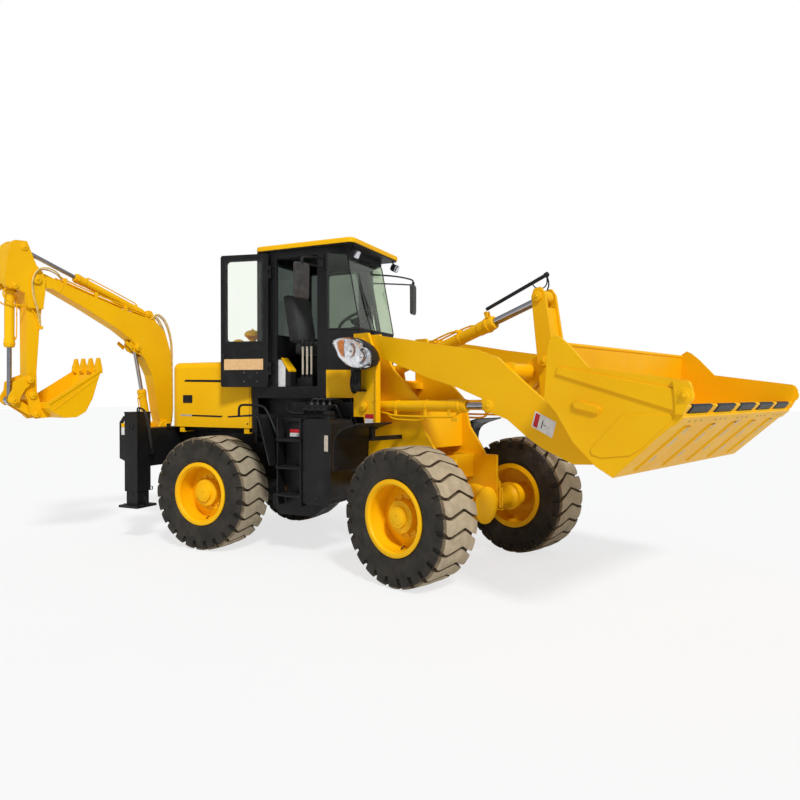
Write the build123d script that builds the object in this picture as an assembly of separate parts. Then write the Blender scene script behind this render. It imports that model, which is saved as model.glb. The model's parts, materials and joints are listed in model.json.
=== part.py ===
from build123d import *
from math import atan2, degrees, hypot
import os

"""Articulated backhoe loader with a front bucket, a Z-bar tilt linkage and a side-swung backhoe.

The model stands on z = 0. Every piece is drawn in the frame of the half that carries it:
  rear frame     x forward, y left, origin on the ground under the articulation hinge
  front frame    the same axes turned by STEER_AT_REST about the hinge
  backhoe frame  x outwards along the boom, origin on the ground under the swing hinge
At the end all pieces move together, so that the origin is the centre of the footprint box.
All sizes are in millimetres and degrees.
"""


# ------------------------------------------------------------------ posture at rest
STEER_AT_REST = -19.2  # front half turned to the right
SWING_AT_REST = 82.0  # boom swung from straight back to the machine's right
DOOR_OPEN = 168.0  # right door folded back

# ------------------------------------------------------------------ wheels and axles
TYRE_RADIUS = 537.5
TYRE_WIDTH = 400.0
TREAD_WIDTH = 350.0
BEAD_RADIUS = 267.0
FLANGE_RADIUS = 297.0
RIM_WIDTH = 372.0
RIM_WALL = 12.0
HUB_RADIUS = 125.0
SPINDLE_RADIUS = 60.0
TRACK = 1582.0
REAR_AXLE_X = -1333.0
FRONT_AXLE_X = 1234.0
AXLE_TUBE_RADIUS = 75.0
DIFFERENTIAL_RADIUS = 165.0

# ------------------------------------------------------------------ clearances
RUNNING = 0.05  # radial play of a pin in its bore
SEAT = 0.3  # gap of a piece on its seat
SIDE_PLAY = 3.0  # play of an eye between its ears
GAP = 6.0  # free space between moving pieces

# ------------------------------------------------------------------ articulation hinge
HINGE_PIN_RADIUS = 35.0
HINGE_LUG_RADIUS = 95.0
LUG_THICK = 42.0
LOWER_LUG_Z = 622.0
UPPER_LUG_Z = 938.0

# ------------------------------------------------------------------ rear chassis
CHASSIS_HALF_WIDTH = 325.0
RAIL_THICK = 25.0
RAIL_BOTTOM = 622.0
RAIL_TOP = 1080.0
CHASSIS_REAR_X = -2150.0
CHASSIS_FRONT_X = -170.0

# ------------------------------------------------------------------ hood and engine
HOOD_FRONT_X = -1130.0
HOOD_REAR_X = -2190.0
HOOD_HALF_WIDTH = 460.0
HOOD_BOTTOM = 1136.0
HOOD_TOP = 1812.0
HOOD_SKIN = 10.0
HOOD_CORNER = 110.0
HOOD_TOP_CORNER = 70.0
GRILLE_HALF_WIDTH = 290.0
GRILLE_ROWS = 9

# ------------------------------------------------------------------ tanks and ladders
TANK_OUTER_Y = 880.0
TANK_BOTTOM = 500.0
TANK_TOP = 1256.0
SUMP_BOTTOM = 375.0
RUNG_LEVELS = (561.0, 807.0, 1052.0)
RUNG_THICK = 22.0

# ------------------------------------------------------------------ cab
CAB_HALF_WIDTH = 470.0
CAB_REAR_X = -1040.0
CAB_A_POST_X = -235.0
CAB_NOSE_X = 60.0
CAB_NOSE_TOP_X = -78.0
CAB_NOSE_HALF_WIDTH = 365.0
CAB_BOTTOM = 1440.0
CAB_FLOOR_TOP = 1540.0
CAB_SILL_GLASS = 2090.0
CAB_GLASS_TOP = 2800.0
CAB_TOP = 2880.0
CAB_WALL = 30.0
CAB_HEAD_WIDTH = 70.0
CAB_CORNER_POST = 45.0
CAB_DOOR_POST = 70.0
ROOF_OVERHANG = 41.0
ROOF_THICK = 48.0
GLASS_THICK = 6.0
DOOR_OPENING = (-810.0, -345.0)
DOOR_HINGE_X = -868.0
DOOR_WIDTH = 520.0
DOOR_THICK = 32.0
DOOR_BOTTOM = 1548.0
DOOR_TOP = 2850.0
DOOR_WINDOW_BOTTOM = 1985.0
DOOR_STILE = 48.0
DOOR_PIN_RADIUS = 7.0
DOOR_HINGE_INSET = 180.0

# ------------------------------------------------------------------ inside the cab
SEAT_TOP = 2000.0
WHEEL_CENTRE = (-190.0, 0.0, 2215.0)
WHEEL_RADIUS = 175.0
LEVER_BASE = 1640.0
LEVER_TOP = 1975.0

# ------------------------------------------------------------------ loader tower and arms
SLOT_INNER = 333.0
SLOT_OUTER = 487.0
TOWER_PLATE = 30.0
TOWER_REAR_X = 300.0
ARM_INNER = 451.0
ARM_OUTER = 481.0
ARM_BOSS = 15.0
LIFT_PLANE = 392.0
ARM_PIVOT = (420.0, 1930.0)
ARM_PIN_RADIUS = 35.0
BUCKET_HINGE = (2720.0, 1100.0)
LIFT_BASE = (440.0, 1370.0)
LIFT_EYE = (1760.0, 1390.0)
LIFT_BARREL_RADIUS = 52.0
LIFT_ROD_RADIUS = 28.0
LIFT_EYE_HALF = 28.0

# ------------------------------------------------------------------ Z-bar tilt linkage
CRANK_PIVOT = (2020.0, 1730.0)
CRANK_TOP = (1950.0, 2235.0)
CRANK_FOOT = (2060.0, 1150.0)
LINK_EYE = (2540.0, 1390.0)
TILT_BASE = (340.0, 1707.0)
TILT_BARREL_RADIUS = 58.0
TILT_ROD_RADIUS = 32.0
TILT_EYE_HALF = 45.0
CROSS_TUBE = (1840.0, 1650.0)
CROSS_TUBE_RADIUS = 65.0

# ------------------------------------------------------------------ loader bucket
BUCKET_HALF_WIDTH = 1048.0
BUCKET_SKIN = 14.0
TOOTH_COUNT = 6
TOOTH_SIDE_GAP = 22.0
BUCKET_HEEL = (3028.0, 1010.0)
BUCKET_LIP = (3410.0, 1365.0)

# ------------------------------------------------------------------ backhoe
SWING_X = -2620.0
SWING_LUG_Z = (760.0, 985.0)
SWING_LUG_THICK = 45.0
SWING_PIN_RADIUS = 32.0
POST_BACK = 120.0
BOOM_PIVOT = (130.0, 1120.0)
BOOM_HALF_WIDTH = 70.0
DIPPER_PIVOT = (1590.0, 2565.0)
DIPPER_HALF_WIDTH = 62.0
HEAD_PLATE_BOTTOM = 2290.0
BOOM_CYL_BASE = (290.0, 1000.0)
BOOM_CYL_EYE = (480.0, 1990.0)
DIPPER_CYL_BASE = (340.0, 2362.0)
DIPPER_CYL_EYE = (1700.0, 2850.0)
BUCKET_CYL_BASE = (1790.0, 2480.0)
BUCKET_CYL_EYE = (1797.0, 1424.0)
BACKHOE_BUCKET_PIVOT = (1627.0, 1468.0)
PUSH_LINK_PIN = (1595.0, 1291.0)
ROCKER_PIVOT = (1652.0, 1615.0)
BOOM_EYE_POCKET = 118.0
BOOM_FORK = 34.0
BACKHOE_BARREL_RADIUS = 42.0
BACKHOE_ROD_RADIUS = 21.0
BACKHOE_BUCKET_HALF_WIDTH = 220.0

# ------------------------------------------------------------------ stabilizers
COLUMN_INNER_Y = 774.0
COLUMN_OUTER_Y = 950.0
COLUMN_X = (-2318.0, -2147.0)
COLUMN_TOP = 1288.0
COLUMN_BOTTOM = 500.0
COLUMN_WALL = 12.0
FOOT_Z = 340.0
LIFTING_EYE = (-2415.0, 1180.0)
LIFTING_EYE_RADIUS = 28.0

REAR = Location((0, 0, 0))
FRONT = Location((0, 0, 0), (0, 0, STEER_AT_REST))
BACKHOE = Location((SWING_X, 0, 0), (0, 0, 180 + SWING_AT_REST))

PIECES = {}


# ------------------------------------------------------------------ shape helpers
def block(x, y, z):
    """A box between the (low, high) pairs x, y and z."""
    size = [high - low for low, high in (x, y, z)]
    return Pos(*[(low + high) / 2 for low, high in (x, y, z)]) * Box(*size)


def outline_face(points, corner=0.0):
    """A closed face through the points, its corners rounded."""
    face = make_face(Polyline(*points, close=True))
    return fillet(face.vertices(), corner) if corner else face


def side_plate(points, y_low, y_high, corner=0.0):
    """A plate whose outline of (x, z) points lies in the fore-and-aft plane."""
    return extrude(Plane.XZ.offset(-y_high) * outline_face(points, corner), y_high - y_low)


def cross_plate(points, x_low, x_high, corner=0.0):
    """A plate whose outline of (y, z) points lies across the machine."""
    return extrude(Plane.YZ.offset(x_low) * outline_face(points, corner), x_high - x_low)


def flat_plate(points, z_low, z_high, corner=0.0):
    """A level plate with an outline of (x, y) points."""
    return extrude(Plane.XY.offset(z_low) * outline_face(points, corner), z_high - z_low)


def cross_pin(point, radius, y_low, y_high):
    """A round pin across the machine at the (x, z) point."""
    x, z = point
    middle = (y_low + y_high) / 2
    return Pos(x, middle, z) * Rot(90, 0, 0) * Cylinder(radius, y_high - y_low)


def round_bar(start, end, radius):
    """A round bar between two points."""
    line = Vector(*end) - Vector(*start)
    return extrude(Plane(origin=start, z_dir=line) * Circle(radius), line.length)


def strap(start, end, radius, y_low, y_high):
    """A flat link with round ends at two (x, z) points."""
    (x0, z0), (x1, z1) = start, end
    length = hypot(x1 - x0, z1 - z0)
    angle = degrees(atan2(z1 - z0, x1 - x0))
    face = Pos((x0 + x1) / 2, (z0 + z1) / 2) * Rot(0, 0, angle) * SlotCenterToCenter(length, 2 * radius)
    return extrude(Plane.XZ.offset(-y_high) * face, y_high - y_low)


def mirrored(shape):
    """The same shape on the other side of the machine's centre plane."""
    return mirror(shape, about=Plane.XZ)


def joined(shapes):
    """One shape from all the given ones."""
    first, *others = shapes
    return first.fuse(*others).clean() if others else first


def keep(name, shapes, frame=REAR):
    """Store a piece of one or more solids, placed by its frame."""
    solids = []
    for shape in shapes:
        solids.extend(shape.solids())
    PIECES[name] = frame * Compound(solids)


def direction(start, end):
    """Length and unit (x, z) direction from one point to another."""
    length = hypot(end[0] - start[0], end[1] - start[1])
    return length, ((end[0] - start[0]) / length, (end[1] - start[1]) / length)


# ------------------------------------------------------------------ hydraulic cylinders
def barrel(base, eye, length, radius, rod_radius, pin_radius, half_eye):
    """A cylinder tube on its base eye, bored for its rod, in the plane y = 0."""
    _, (ux, uz) = direction(base, eye)
    axis = Vector(ux, 0, uz)
    origin = Vector(base[0], 0, base[1])
    foot = pin_radius * 2.0
    tube_plane = Plane(origin=origin + axis * foot, z_dir=axis)
    gland = 0.12 * length
    tube = extrude(tube_plane * Circle(radius), length - foot)
    collar_plane = Plane(origin=origin + axis * (length - gland), z_dir=axis)
    tube += extrude(collar_plane * Circle(radius * 1.1), gland)
    eye_boss = cross_pin(base, pin_radius * 1.75, -half_eye, half_eye)
    neck_plane = Plane(origin=origin + axis * pin_radius, z_dir=axis)
    body = joined([tube, eye_boss, extrude(neck_plane * Circle(min(radius, half_eye) * 0.9), foot)])
    bore_plane = Plane(origin=origin + axis * (foot + 0.5 * radius), z_dir=axis)
    body -= extrude(bore_plane * Circle(rod_radius + SEAT), length)
    return body - cross_pin(base, pin_radius + RUNNING, -half_eye - 1, half_eye + 1)


def rod(base, eye, start, radius, pin_radius, half_eye):
    """A chromed rod from inside its barrel to a closed round eye, in the plane y = 0."""
    length, (ux, uz) = direction(base, eye)
    axis = Vector(ux, 0, uz)
    plane = Plane(origin=Vector(base[0], 0, base[1]) + axis * start, z_dir=axis)
    shaft = extrude(plane * Circle(radius), length - start)
    return joined([shaft, cross_pin(eye, pin_radius * 1.75, -half_eye, half_eye)])


# ------------------------------------------------------------------ wheels
def tyre():
    """A tyre about the y axis, in section from bead to tread."""
    half = TYRE_WIDTH / 2
    shoulder = TYRE_RADIUS - 22
    belly = BEAD_RADIUS + 0.55 * (TYRE_RADIUS - BEAD_RADIUS)
    bead = RIM_WIDTH / 2 - RIM_WALL - SEAT
    inner = BEAD_RADIUS + SEAT
    crown = ThreePointArc((shoulder, -TREAD_WIDTH / 2), (TYRE_RADIUS, 0), (shoulder, TREAD_WIDTH / 2))
    clinch = FLANGE_RADIUS + SEAT
    side = ThreePointArc((shoulder, TREAD_WIDTH / 2), (belly, half), (clinch, bead))
    bore = Polyline((clinch, bead), (inner, bead), (inner, -bead), (clinch, -bead))
    other = ThreePointArc((clinch, -bead), (belly, -half), (shoulder, -TREAD_WIDTH / 2))
    return revolve(make_face([crown, side, bore, other]), Axis.Y)


def rim():
    """A dished rim about the y axis, its planetary hub facing +y."""
    half = RIM_WIDTH / 2
    well = BEAD_RADIUS - RIM_WALL
    profile = [
        (SPINDLE_RADIUS + RUNNING, -120),
        (SPINDLE_RADIUS + RUNNING, 12),
        (0, 12),
        (0, 128),
        (78, 128),
        (84, 104),
        (HUB_RADIUS, 98),
        (HUB_RADIUS + 6, 36),
        (170, 36),
        (232, 8),
        (well, 2),
        (well, half - RIM_WALL),
        (well + 8, half),
        (FLANGE_RADIUS, half),
        (FLANGE_RADIUS, half - RIM_WALL),
        (BEAD_RADIUS, half - RIM_WALL),
        (BEAD_RADIUS, -half + RIM_WALL),
        (FLANGE_RADIUS, -half + RIM_WALL),
        (FLANGE_RADIUS, -half),
        (well, -half),
        (well, -14),
        (160, 14),
        (100, 14),
        (100, -120),
    ]
    return revolve(outline_face(profile), Axis.Y)


def make_wheels():
    """Four wheels, each a tyre and a rim."""
    for end, axle_x, frame in (("front", FRONT_AXLE_X, FRONT), ("rear", REAR_AXLE_X, REAR)):
        for side, sign in (("left", 1), ("right", -1)):
            place = Pos(axle_x, sign * TRACK / 2, TYRE_RADIUS)
            for kind, shape in (("tyre", tyre()), ("rim", rim())):
                turned = shape if sign > 0 else mirrored(shape)
                keep(f"{end}_{side}_{kind}", [place * turned], frame)


def axle(axle_x):
    """An axle housing with its differential, brake drums, spindles and seats."""
    drum_end = TRACK / 2 - 130
    profile = [
        (0, -TRACK / 2),
        (SPINDLE_RADIUS, -TRACK / 2),
        (SPINDLE_RADIUS, -drum_end),
        (112, -drum_end),
        (112, -drum_end + 90),
        (AXLE_TUBE_RADIUS, -drum_end + 130),
        (AXLE_TUBE_RADIUS, -240),
        (DIFFERENTIAL_RADIUS * 0.8, -90),
        (DIFFERENTIAL_RADIUS, -55),
    ]
    whole = profile + [(radius, -y) for radius, y in reversed(profile)]
    housing = revolve(outline_face(whole), Axis.Y)
    seats = []
    for sign in (1, -1):
        y_low, y_high = sorted((sign * 285, sign * 345))
        seats.append(block((-70, 70), (y_low, y_high), (20, RAIL_BOTTOM - TYRE_RADIUS)))
    return Pos(axle_x, 0, TYRE_RADIUS) * joined([housing] + seats)


# ------------------------------------------------------------------ rear half
def make_rear_chassis():
    """Two side rails, cross members and the forked articulation hinge."""
    outer = CHASSIS_HALF_WIDTH
    rail_outline = [
        (CHASSIS_REAR_X, RAIL_BOTTOM),
        (CHASSIS_FRONT_X, RAIL_BOTTOM),
        (CHASSIS_FRONT_X, UPPER_LUG_Z + LUG_THICK),
        (-620, UPPER_LUG_Z + LUG_THICK),
        (-800, RAIL_TOP),
        (CHASSIS_REAR_X, RAIL_TOP),
    ]
    pieces = [
        side_plate(rail_outline, outer - RAIL_THICK, outer),
        side_plate(rail_outline, -outer, -outer + RAIL_THICK),
    ]
    for x, depth in ((CHASSIS_REAR_X, RAIL_TOP), (-1090, RAIL_TOP), (-620, UPPER_LUG_Z)):
        pieces.append(block((x, x + 30), (-outer, outer), (RAIL_BOTTOM + 60, depth)))
    plate_z = (RAIL_BOTTOM, UPPER_LUG_Z + LUG_THICK)
    pieces.append(block((CHASSIS_FRONT_X - 40, CHASSIS_FRONT_X), (-outer, outer), plate_z))
    for lug_z in (LOWER_LUG_Z, UPPER_LUG_Z):
        root_x = CHASSIS_FRONT_X - 20
        tongue = [(root_x, -190), (0, -HINGE_LUG_RADIUS), (0, HINGE_LUG_RADIUS), (root_x, 190)]
        pieces.append(flat_plate(tongue, lug_z, lug_z + LUG_THICK))
        pieces.append(Pos(0, 0, lug_z + LUG_THICK / 2) * Cylinder(HINGE_LUG_RADIUS, LUG_THICK))
    for pin_low in (LOWER_LUG_Z - 12, UPPER_LUG_Z - LUG_THICK - 2 * GAP):
        pin_high = pin_low + 2 * LUG_THICK + 2 * GAP + 24
        pieces.append(Pos(0, 0, (pin_low + pin_high) / 2) * Cylinder(HINGE_PIN_RADIUS, pin_high - pin_low))
    keep("rear_chassis", [joined(pieces)])


def make_rear_axle():
    keep("rear_axle", [axle(REAR_AXLE_X)])


def make_engine():
    """The engine as one plain block between the rails."""
    half = CHASSIS_HALF_WIDTH - RAIL_THICK - SEAT
    low = RAIL_BOTTOM + 190
    keep("engine_block", [block((-2060, -1240), (-half, half), (low, HOOD_TOP - 190))])


def make_hood():
    """A hollow hood with rounded rear corners, a grille at the back and an open belly."""
    half = HOOD_HALF_WIDTH
    skin = HOOD_SKIN

    def body(inset):
        length = (HOOD_REAR_X + inset, HOOD_FRONT_X - inset)
        low = HOOD_BOTTOM - (1 if inset else 0)
        solid = block(length, (-half + inset, half - inset), (low, HOOD_TOP - inset))
        solid = fillet(solid.edges().filter_by(Axis.Z).group_by(Axis.X)[0], HOOD_CORNER - inset)
        top_edges = solid.faces().sort_by(Axis.Z)[-1].edges().sort_by(Axis.X)[:-1]
        return fillet(top_edges, HOOD_TOP_CORNER - inset)

    shell = body(0) - body(skin)
    pitch = 52
    for row in range(GRILLE_ROWS):
        z = HOOD_BOTTOM + 110 + row * pitch
        rear_wall = (HOOD_REAR_X - 1, HOOD_REAR_X + skin + 1)
        shell -= block(rear_wall, (-GRILLE_HALF_WIDTH, GRILLE_HALF_WIDTH), (z, z + pitch / 2))
    for sign in (1, -1):
        y_low, y_high = sorted((sign * (CHASSIS_HALF_WIDTH - RAIL_THICK), sign * (half - skin)))
        post_y = (y_high - 12, y_high) if sign > 0 else (y_low, y_low + 12)
        for x in (HOOD_REAR_X + 130, HOOD_FRONT_X - 90):
            bracket = block((x, x + 60), (y_low, y_high), (RAIL_TOP, RAIL_TOP + 12))
            post = block((x, x + 60), post_y, (RAIL_TOP, HOOD_BOTTOM + 60))
            shell = joined([shell, bracket, post])
    keep("hood", [shell])


def make_hood_stacks():
    """The mushroom pre-cleaner and the domed air box on the hood."""
    top = HOOD_TOP + SEAT
    stack = [(0, 0), (62, 0), (62, 250), (118, 268), (125, 300), (108, 352), (52, 382), (0, 388)]
    dome = [(0, 0), (92, 0), (92, 190), (70, 245), (0, 268)]
    for_stack = revolve(Plane.XZ * outline_face(stack), Axis.Z)
    for_dome = revolve(Plane.XZ * outline_face(dome), Axis.Z)
    keep("air_stacks", [Pos(-1430, 0, top) * for_stack, Pos(-1640, 0, top) * for_dome])


def make_rear_fenders():
    """Bent plates in front of and above the rear wheels, carried by brackets on the rails."""
    edge = [(-985, 1270), (-690, 1292), (-640, 1262), (-522, 840)]
    thick = 8
    under = [(-985, 1270 - thick), (-693, 1292 - thick), (-647, 1262 - thick), (-522 - thick, 840)]
    fenders = []
    for sign in (1, -1):
        plate = side_plate(edge + under[::-1], *sorted((sign * 585, sign * 985)))
        arm_y = sorted((sign * (CHASSIS_HALF_WIDTH + SEAT), sign * 620))
        leg_y = sorted((sign * 600, sign * 620))
        carriers = []
        for x in (-960, -850):
            carriers.append(block((x, x + 30), arm_y, (RAIL_TOP - 70, RAIL_TOP - 20)))
            carriers.append(block((x, x + 30), leg_y, (RAIL_TOP - 70, 1268)))
        fenders.append(joined([plate] + carriers))
    keep("rear_fenders", fenders)


def make_side_tanks():
    """A rounded tank on each side between the axles, set back behind the ladder, with a sump below."""
    tanks = []
    for sign in (1, -1):
        body = block((-250, 45), sorted((sign * 480, sign * TANK_OUTER_Y)), (TANK_BOTTOM, TANK_TOP))
        body = fillet(body.edges().filter_by(Axis.Y), 55)
        recess = block((-490, -249), sorted((sign * 502, sign * 778)), (TANK_BOTTOM, TANK_TOP - 31))
        recess = fillet(recess.edges().filter_by(Axis.Y).group_by(Axis.X)[0], 40)
        sump = block((-640, -120), sorted((sign * 520, sign * 770)), (SUMP_BOTTOM, TANK_BOTTOM + 60))
        sump = chamfer(sump.edges().filter_by(Axis.Y).group_by(Axis.Z)[0], 75)
        hanger_y = sorted((sign * (CHASSIS_HALF_WIDTH + SEAT), sign * 500))
        hanger = block((-235, -195), hanger_y, (900, 960))
        tanks.append(joined([body, recess, sump, hanger]))
    keep("side_tanks", tanks)


def make_access_steps():
    """A ladder on each side in front of the tank's recess."""
    rear_x, front_x = -507.0, -251.0
    rail = 12
    ladders = []
    for sign in (1, -1):
        y_pair = sorted((sign * 790, sign * 900))
        rails = [block((x, x + rail), y_pair, (480, 1260)) for x in (rear_x, front_x - rail)]
        rungs = [block((rear_x, front_x), y_pair, (z, z + RUNG_THICK)) for z in RUNG_LEVELS]
        brace = block((rear_x, front_x - rail + 1), sorted((sign * 480, sign * 800)), (1230, 1260))
        hanger_y = sorted((sign * (CHASSIS_HALF_WIDTH + SEAT), sign * 500))
        hanger = block((rear_x, rear_x + 40), hanger_y, (930, 1260))
        ladders.append(joined(rails + rungs + [brace, hanger]))
    keep("access_steps", ladders)


# ------------------------------------------------------------------ cab
def cab_plan(inset=0.0, nose_x=CAB_NOSE_X):
    """The cab's plan outline, square at the rear and chamfered at the front."""
    half = CAB_HALF_WIDTH - inset
    nose = CAB_NOSE_HALF_WIDTH - inset * 0.8
    front = nose_x - inset
    corner = CAB_A_POST_X - inset * 0.3
    rear = CAB_REAR_X + inset
    return [(rear, -half), (corner, -half), (front, -nose), (front, nose), (corner, half), (rear, half)]


def make_cab_floor():
    """The floor plate, the beams and side panels under it, and the bulkhead behind the cab."""
    plate = flat_plate(cab_plan(CAB_WALL + SEAT), CAB_FLOOR_TOP - 30, CAB_FLOOR_TOP)
    pieces = [plate]
    rail = CHASSIS_HALF_WIDTH
    low_seat = UPPER_LUG_Z + LUG_THICK + SEAT
    bulkhead_x = (HOOD_FRONT_X + 10, CAB_REAR_X - GAP)
    bulkhead_z = (RAIL_TOP + SEAT, HOOD_TOP - 40)
    bulkhead_half = HOOD_HALF_WIDTH - 10
    for sign in (1, -1):
        beam_y = sorted((sign * (rail - 65), sign * rail))
        post_y = sorted((sign * (rail - RAIL_THICK), sign * rail))
        panel_y = sorted((sign * (rail - 12), sign * rail))
        wing_y = sorted((sign * (bulkhead_half - 12), sign * bulkhead_half))
        pieces.append(block((CAB_REAR_X + 40, -40), beam_y, (CAB_BOTTOM, CAB_FLOOR_TOP - 30)))
        pieces.append(block((-1000, -940), post_y, (RAIL_TOP + SEAT, CAB_BOTTOM)))
        pieces.append(block((-560, -500), post_y, (low_seat, CAB_BOTTOM)))
        pieces.append(block((-230, -190), post_y, (low_seat, CAB_BOTTOM)))
        pieces.append(block((-1000, -60), panel_y, (RAIL_TOP + GAP, CAB_BOTTOM)))
        pieces.append(block((bulkhead_x[0], -960), post_y, (CAB_BOTTOM - 60, CAB_BOTTOM - GAP)))
        pieces.append(block(bulkhead_x, wing_y, bulkhead_z))
    pieces.append(block((bulkhead_x[0], bulkhead_x[0] + 12), (-bulkhead_half, bulkhead_half), bulkhead_z))
    keep("cab_floor", [joined(pieces)])


def make_cab_frame():
    """Lower walls, posts and the head ring of the cab."""
    low_wall = flat_plate(cab_plan(), CAB_BOTTOM, CAB_SILL_GLASS)
    low_wall -= flat_plate(cab_plan(CAB_WALL), CAB_BOTTOM - 1, CAB_SILL_GLASS + 1)
    head = flat_plate(cab_plan(0, CAB_NOSE_TOP_X), CAB_GLASS_TOP, CAB_TOP)
    head -= flat_plate(cab_plan(CAB_HEAD_WIDTH, CAB_NOSE_TOP_X), CAB_GLASS_TOP - 1, CAB_TOP + 1)
    half = CAB_HALF_WIDTH
    open_low, open_high = DOOR_OPENING
    post_spans = (
        (CAB_REAR_X, CAB_REAR_X + CAB_CORNER_POST),
        (open_low - CAB_DOOR_POST, open_low),
        (open_high, CAB_A_POST_X - 10),
    )
    posts = []
    hinges = []
    for sign in (1, -1):
        wall_y = sorted((sign * (half - CAB_WALL), sign * half))
        posts.extend(block(span, wall_y, (CAB_SILL_GLASS - 1, CAB_GLASS_TOP + 1)) for span in post_spans)
        arm_y = sorted((sign * (half - 2), sign * (half + 33)))
        for z in (DOOR_BOTTOM + DOOR_HINGE_INSET, DOOR_TOP - DOOR_HINGE_INSET):
            arm = block((DOOR_HINGE_X - 11, DOOR_HINGE_X + 11), arm_y, (z - 22, z + 22))
            hinges.append(arm + Pos(*door_axis(sign), z) * Cylinder(DOOR_PIN_RADIUS, 120))
    frame = joined([low_wall, head] + posts)
    for sign in (1, -1):
        through_y = sorted((sign * (half - CAB_WALL - 1), sign * (half + 1)))
        frame -= block(DOOR_OPENING, through_y, (CAB_FLOOR_TOP + 12, CAB_GLASS_TOP))
    keep("cab_frame", [joined([frame] + hinges)])


def make_cab_glass():
    """The wrapped windscreen, the rear corner panes and the rear window."""
    thick = GLASS_THICK
    low_z, high_z = CAB_SILL_GLASS + SEAT, CAB_GLASS_TOP - SEAT

    def band(nose_x):
        outer = cab_plan(0, nose_x)[1:5]
        inner = cab_plan(thick, nose_x)[1:5]
        return outer + inner[::-1]

    low = Plane.XY.offset(low_z) * outline_face(band(CAB_NOSE_X))
    high = Plane.XY.offset(high_z) * outline_face(band(CAB_NOSE_TOP_X))
    panes = [loft([low.face(), high.face()], ruled=True)]
    rear_x = CAB_REAR_X + 12
    rear_half = CAB_HALF_WIDTH - CAB_WALL - 1
    panes.append(block((rear_x, rear_x + thick), (-rear_half, rear_half), (low_z, high_z)))
    side_x = (CAB_REAR_X + CAB_CORNER_POST + SEAT, DOOR_OPENING[0] - CAB_DOOR_POST - SEAT)
    side_y = CAB_HALF_WIDTH - 18
    for sign in (1, -1):
        panes.append(block(side_x, sorted((sign * side_y, sign * (side_y + thick))), (low_z, high_z)))
    keep("cab_glass", panes)


def make_cab_roof():
    """The roof slab with rounded corners and a softened rim."""
    half = CAB_HALF_WIDTH + ROOF_OVERHANG
    slab = block((CAB_REAR_X, 60), (-half, half), (CAB_TOP + SEAT, CAB_TOP + SEAT + ROOF_THICK))
    slab = fillet(slab.edges().filter_by(Axis.Z), 60)
    slab = fillet(slab.faces().sort_by(Axis.Z)[-1].edges(), 18)
    keep("cab_roof", [slab])


def door_leaf(sign):
    """A closed door leaf with its window opening, and the pane for it."""
    inner = CAB_HALF_WIDTH + 4
    y_pair = sorted((sign * inner, sign * (inner + DOOR_THICK)))
    low_x, high_x = DOOR_HINGE_X + 16, DOOR_HINGE_X + DOOR_WIDTH
    leaf = block((low_x, high_x), y_pair, (DOOR_BOTTOM, DOOR_TOP))
    leaf = fillet(leaf.edges().filter_by(Axis.Y), 24)
    window_x = (low_x + DOOR_STILE, high_x - DOOR_STILE)
    window_z = (DOOR_WINDOW_BOTTOM, DOOR_TOP - DOOR_STILE)
    leaf -= block(window_x, (y_pair[0] - 1, y_pair[1] + 1), window_z)
    pane_y = sorted((sign * (inner + 12), sign * (inner + 12 + GLASS_THICK)))
    pane_x = (window_x[0] + SEAT, window_x[1] - SEAT)
    pane = block(pane_x, pane_y, (window_z[0] + SEAT, window_z[1] - SEAT))
    hinge_levels = (DOOR_BOTTOM + DOOR_HINGE_INSET, DOOR_TOP - DOOR_HINGE_INSET)
    knuckle_y = sorted((sign * (inner + 4), sign * (inner + 32)))
    knuckles = []
    for z in hinge_levels:
        for part_z in ((z - 60, z - 23), (z + 23, z + 60)):
            knuckles.append(block((DOOR_HINGE_X - 12, low_x + 4), knuckle_y, part_z))
    leaf = joined([leaf] + knuckles)
    for z in hinge_levels:
        leaf -= Pos(*door_axis(sign), z) * Cylinder(DOOR_PIN_RADIUS + RUNNING, 122)
    return leaf, pane


def door_axis(sign):
    """The (x, y) place of a door's hinge axis."""
    return DOOR_HINGE_X, sign * (CAB_HALF_WIDTH + 22)


def make_doors():
    """The right door folded back, the left one closed."""
    for side, sign, opened in (("right", -1, DOOR_OPEN), ("left", 1, 0.0)):
        x, y = door_axis(sign)
        swing = Pos(x, y, 0) * Rot(0, 0, sign * opened) * Pos(-x, -y, 0)
        leaf, pane = door_leaf(sign)
        keep(f"{side}_door", [leaf], swing)
        keep(f"{side}_door_glass", [pane], swing)


def make_cab_inside():
    """Seat, steering column with its wheel, and the lever bank beside the seat."""
    floor = CAB_FLOOR_TOP + SEAT
    foot = block((-700, -420), (-160, 160), (floor, floor + 24))
    pedestal = block((-660, -460), (-110, 110), (floor + 10, SEAT_TOP - 120))
    keep("seat_base", [joined([foot, pedestal])])
    cushion = block((-790, -330), (-235, 235), (SEAT_TOP - 120 + SEAT, SEAT_TOP))
    cushion = fillet(cushion.edges().filter_by(Axis.Z), 50)
    back = block((-50, 50), (-225, 225), (-20, 520))
    back = Pos(-800, 0, SEAT_TOP) * Rot(0, -10, 0) * fillet(back.edges().filter_by(Axis.X), 40)
    keep("seat_cushions", [joined([cushion, back])])
    hub = WHEEL_CENTRE
    column = round_bar((-5, 0, floor + 330), hub, 30)
    pod = block((-40, 28), (-330, 330), (floor, 1960))
    spokes = Cylinder(45, 26) + Box(16, 2 * WHEEL_RADIUS - 10, 10)
    wheel = Location(hub, (0, -30, 0)) * (Torus(WHEEL_RADIUS, 15) + spokes)
    keep("steering_column", [joined([pod, column, wheel])])
    bank_y = -290
    bank = block((-660, -490), (bank_y - 40, bank_y + 40), (floor, LEVER_BASE))
    levers = []
    for x in (-625, -575, -525):
        knob = (x - 12, bank_y, LEVER_TOP)
        levers.append(round_bar((x, bank_y, LEVER_BASE - 10), knob, 9) + Pos(*knob) * Sphere(20))
    keep("control_console", [joined([bank] + levers)])


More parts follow.
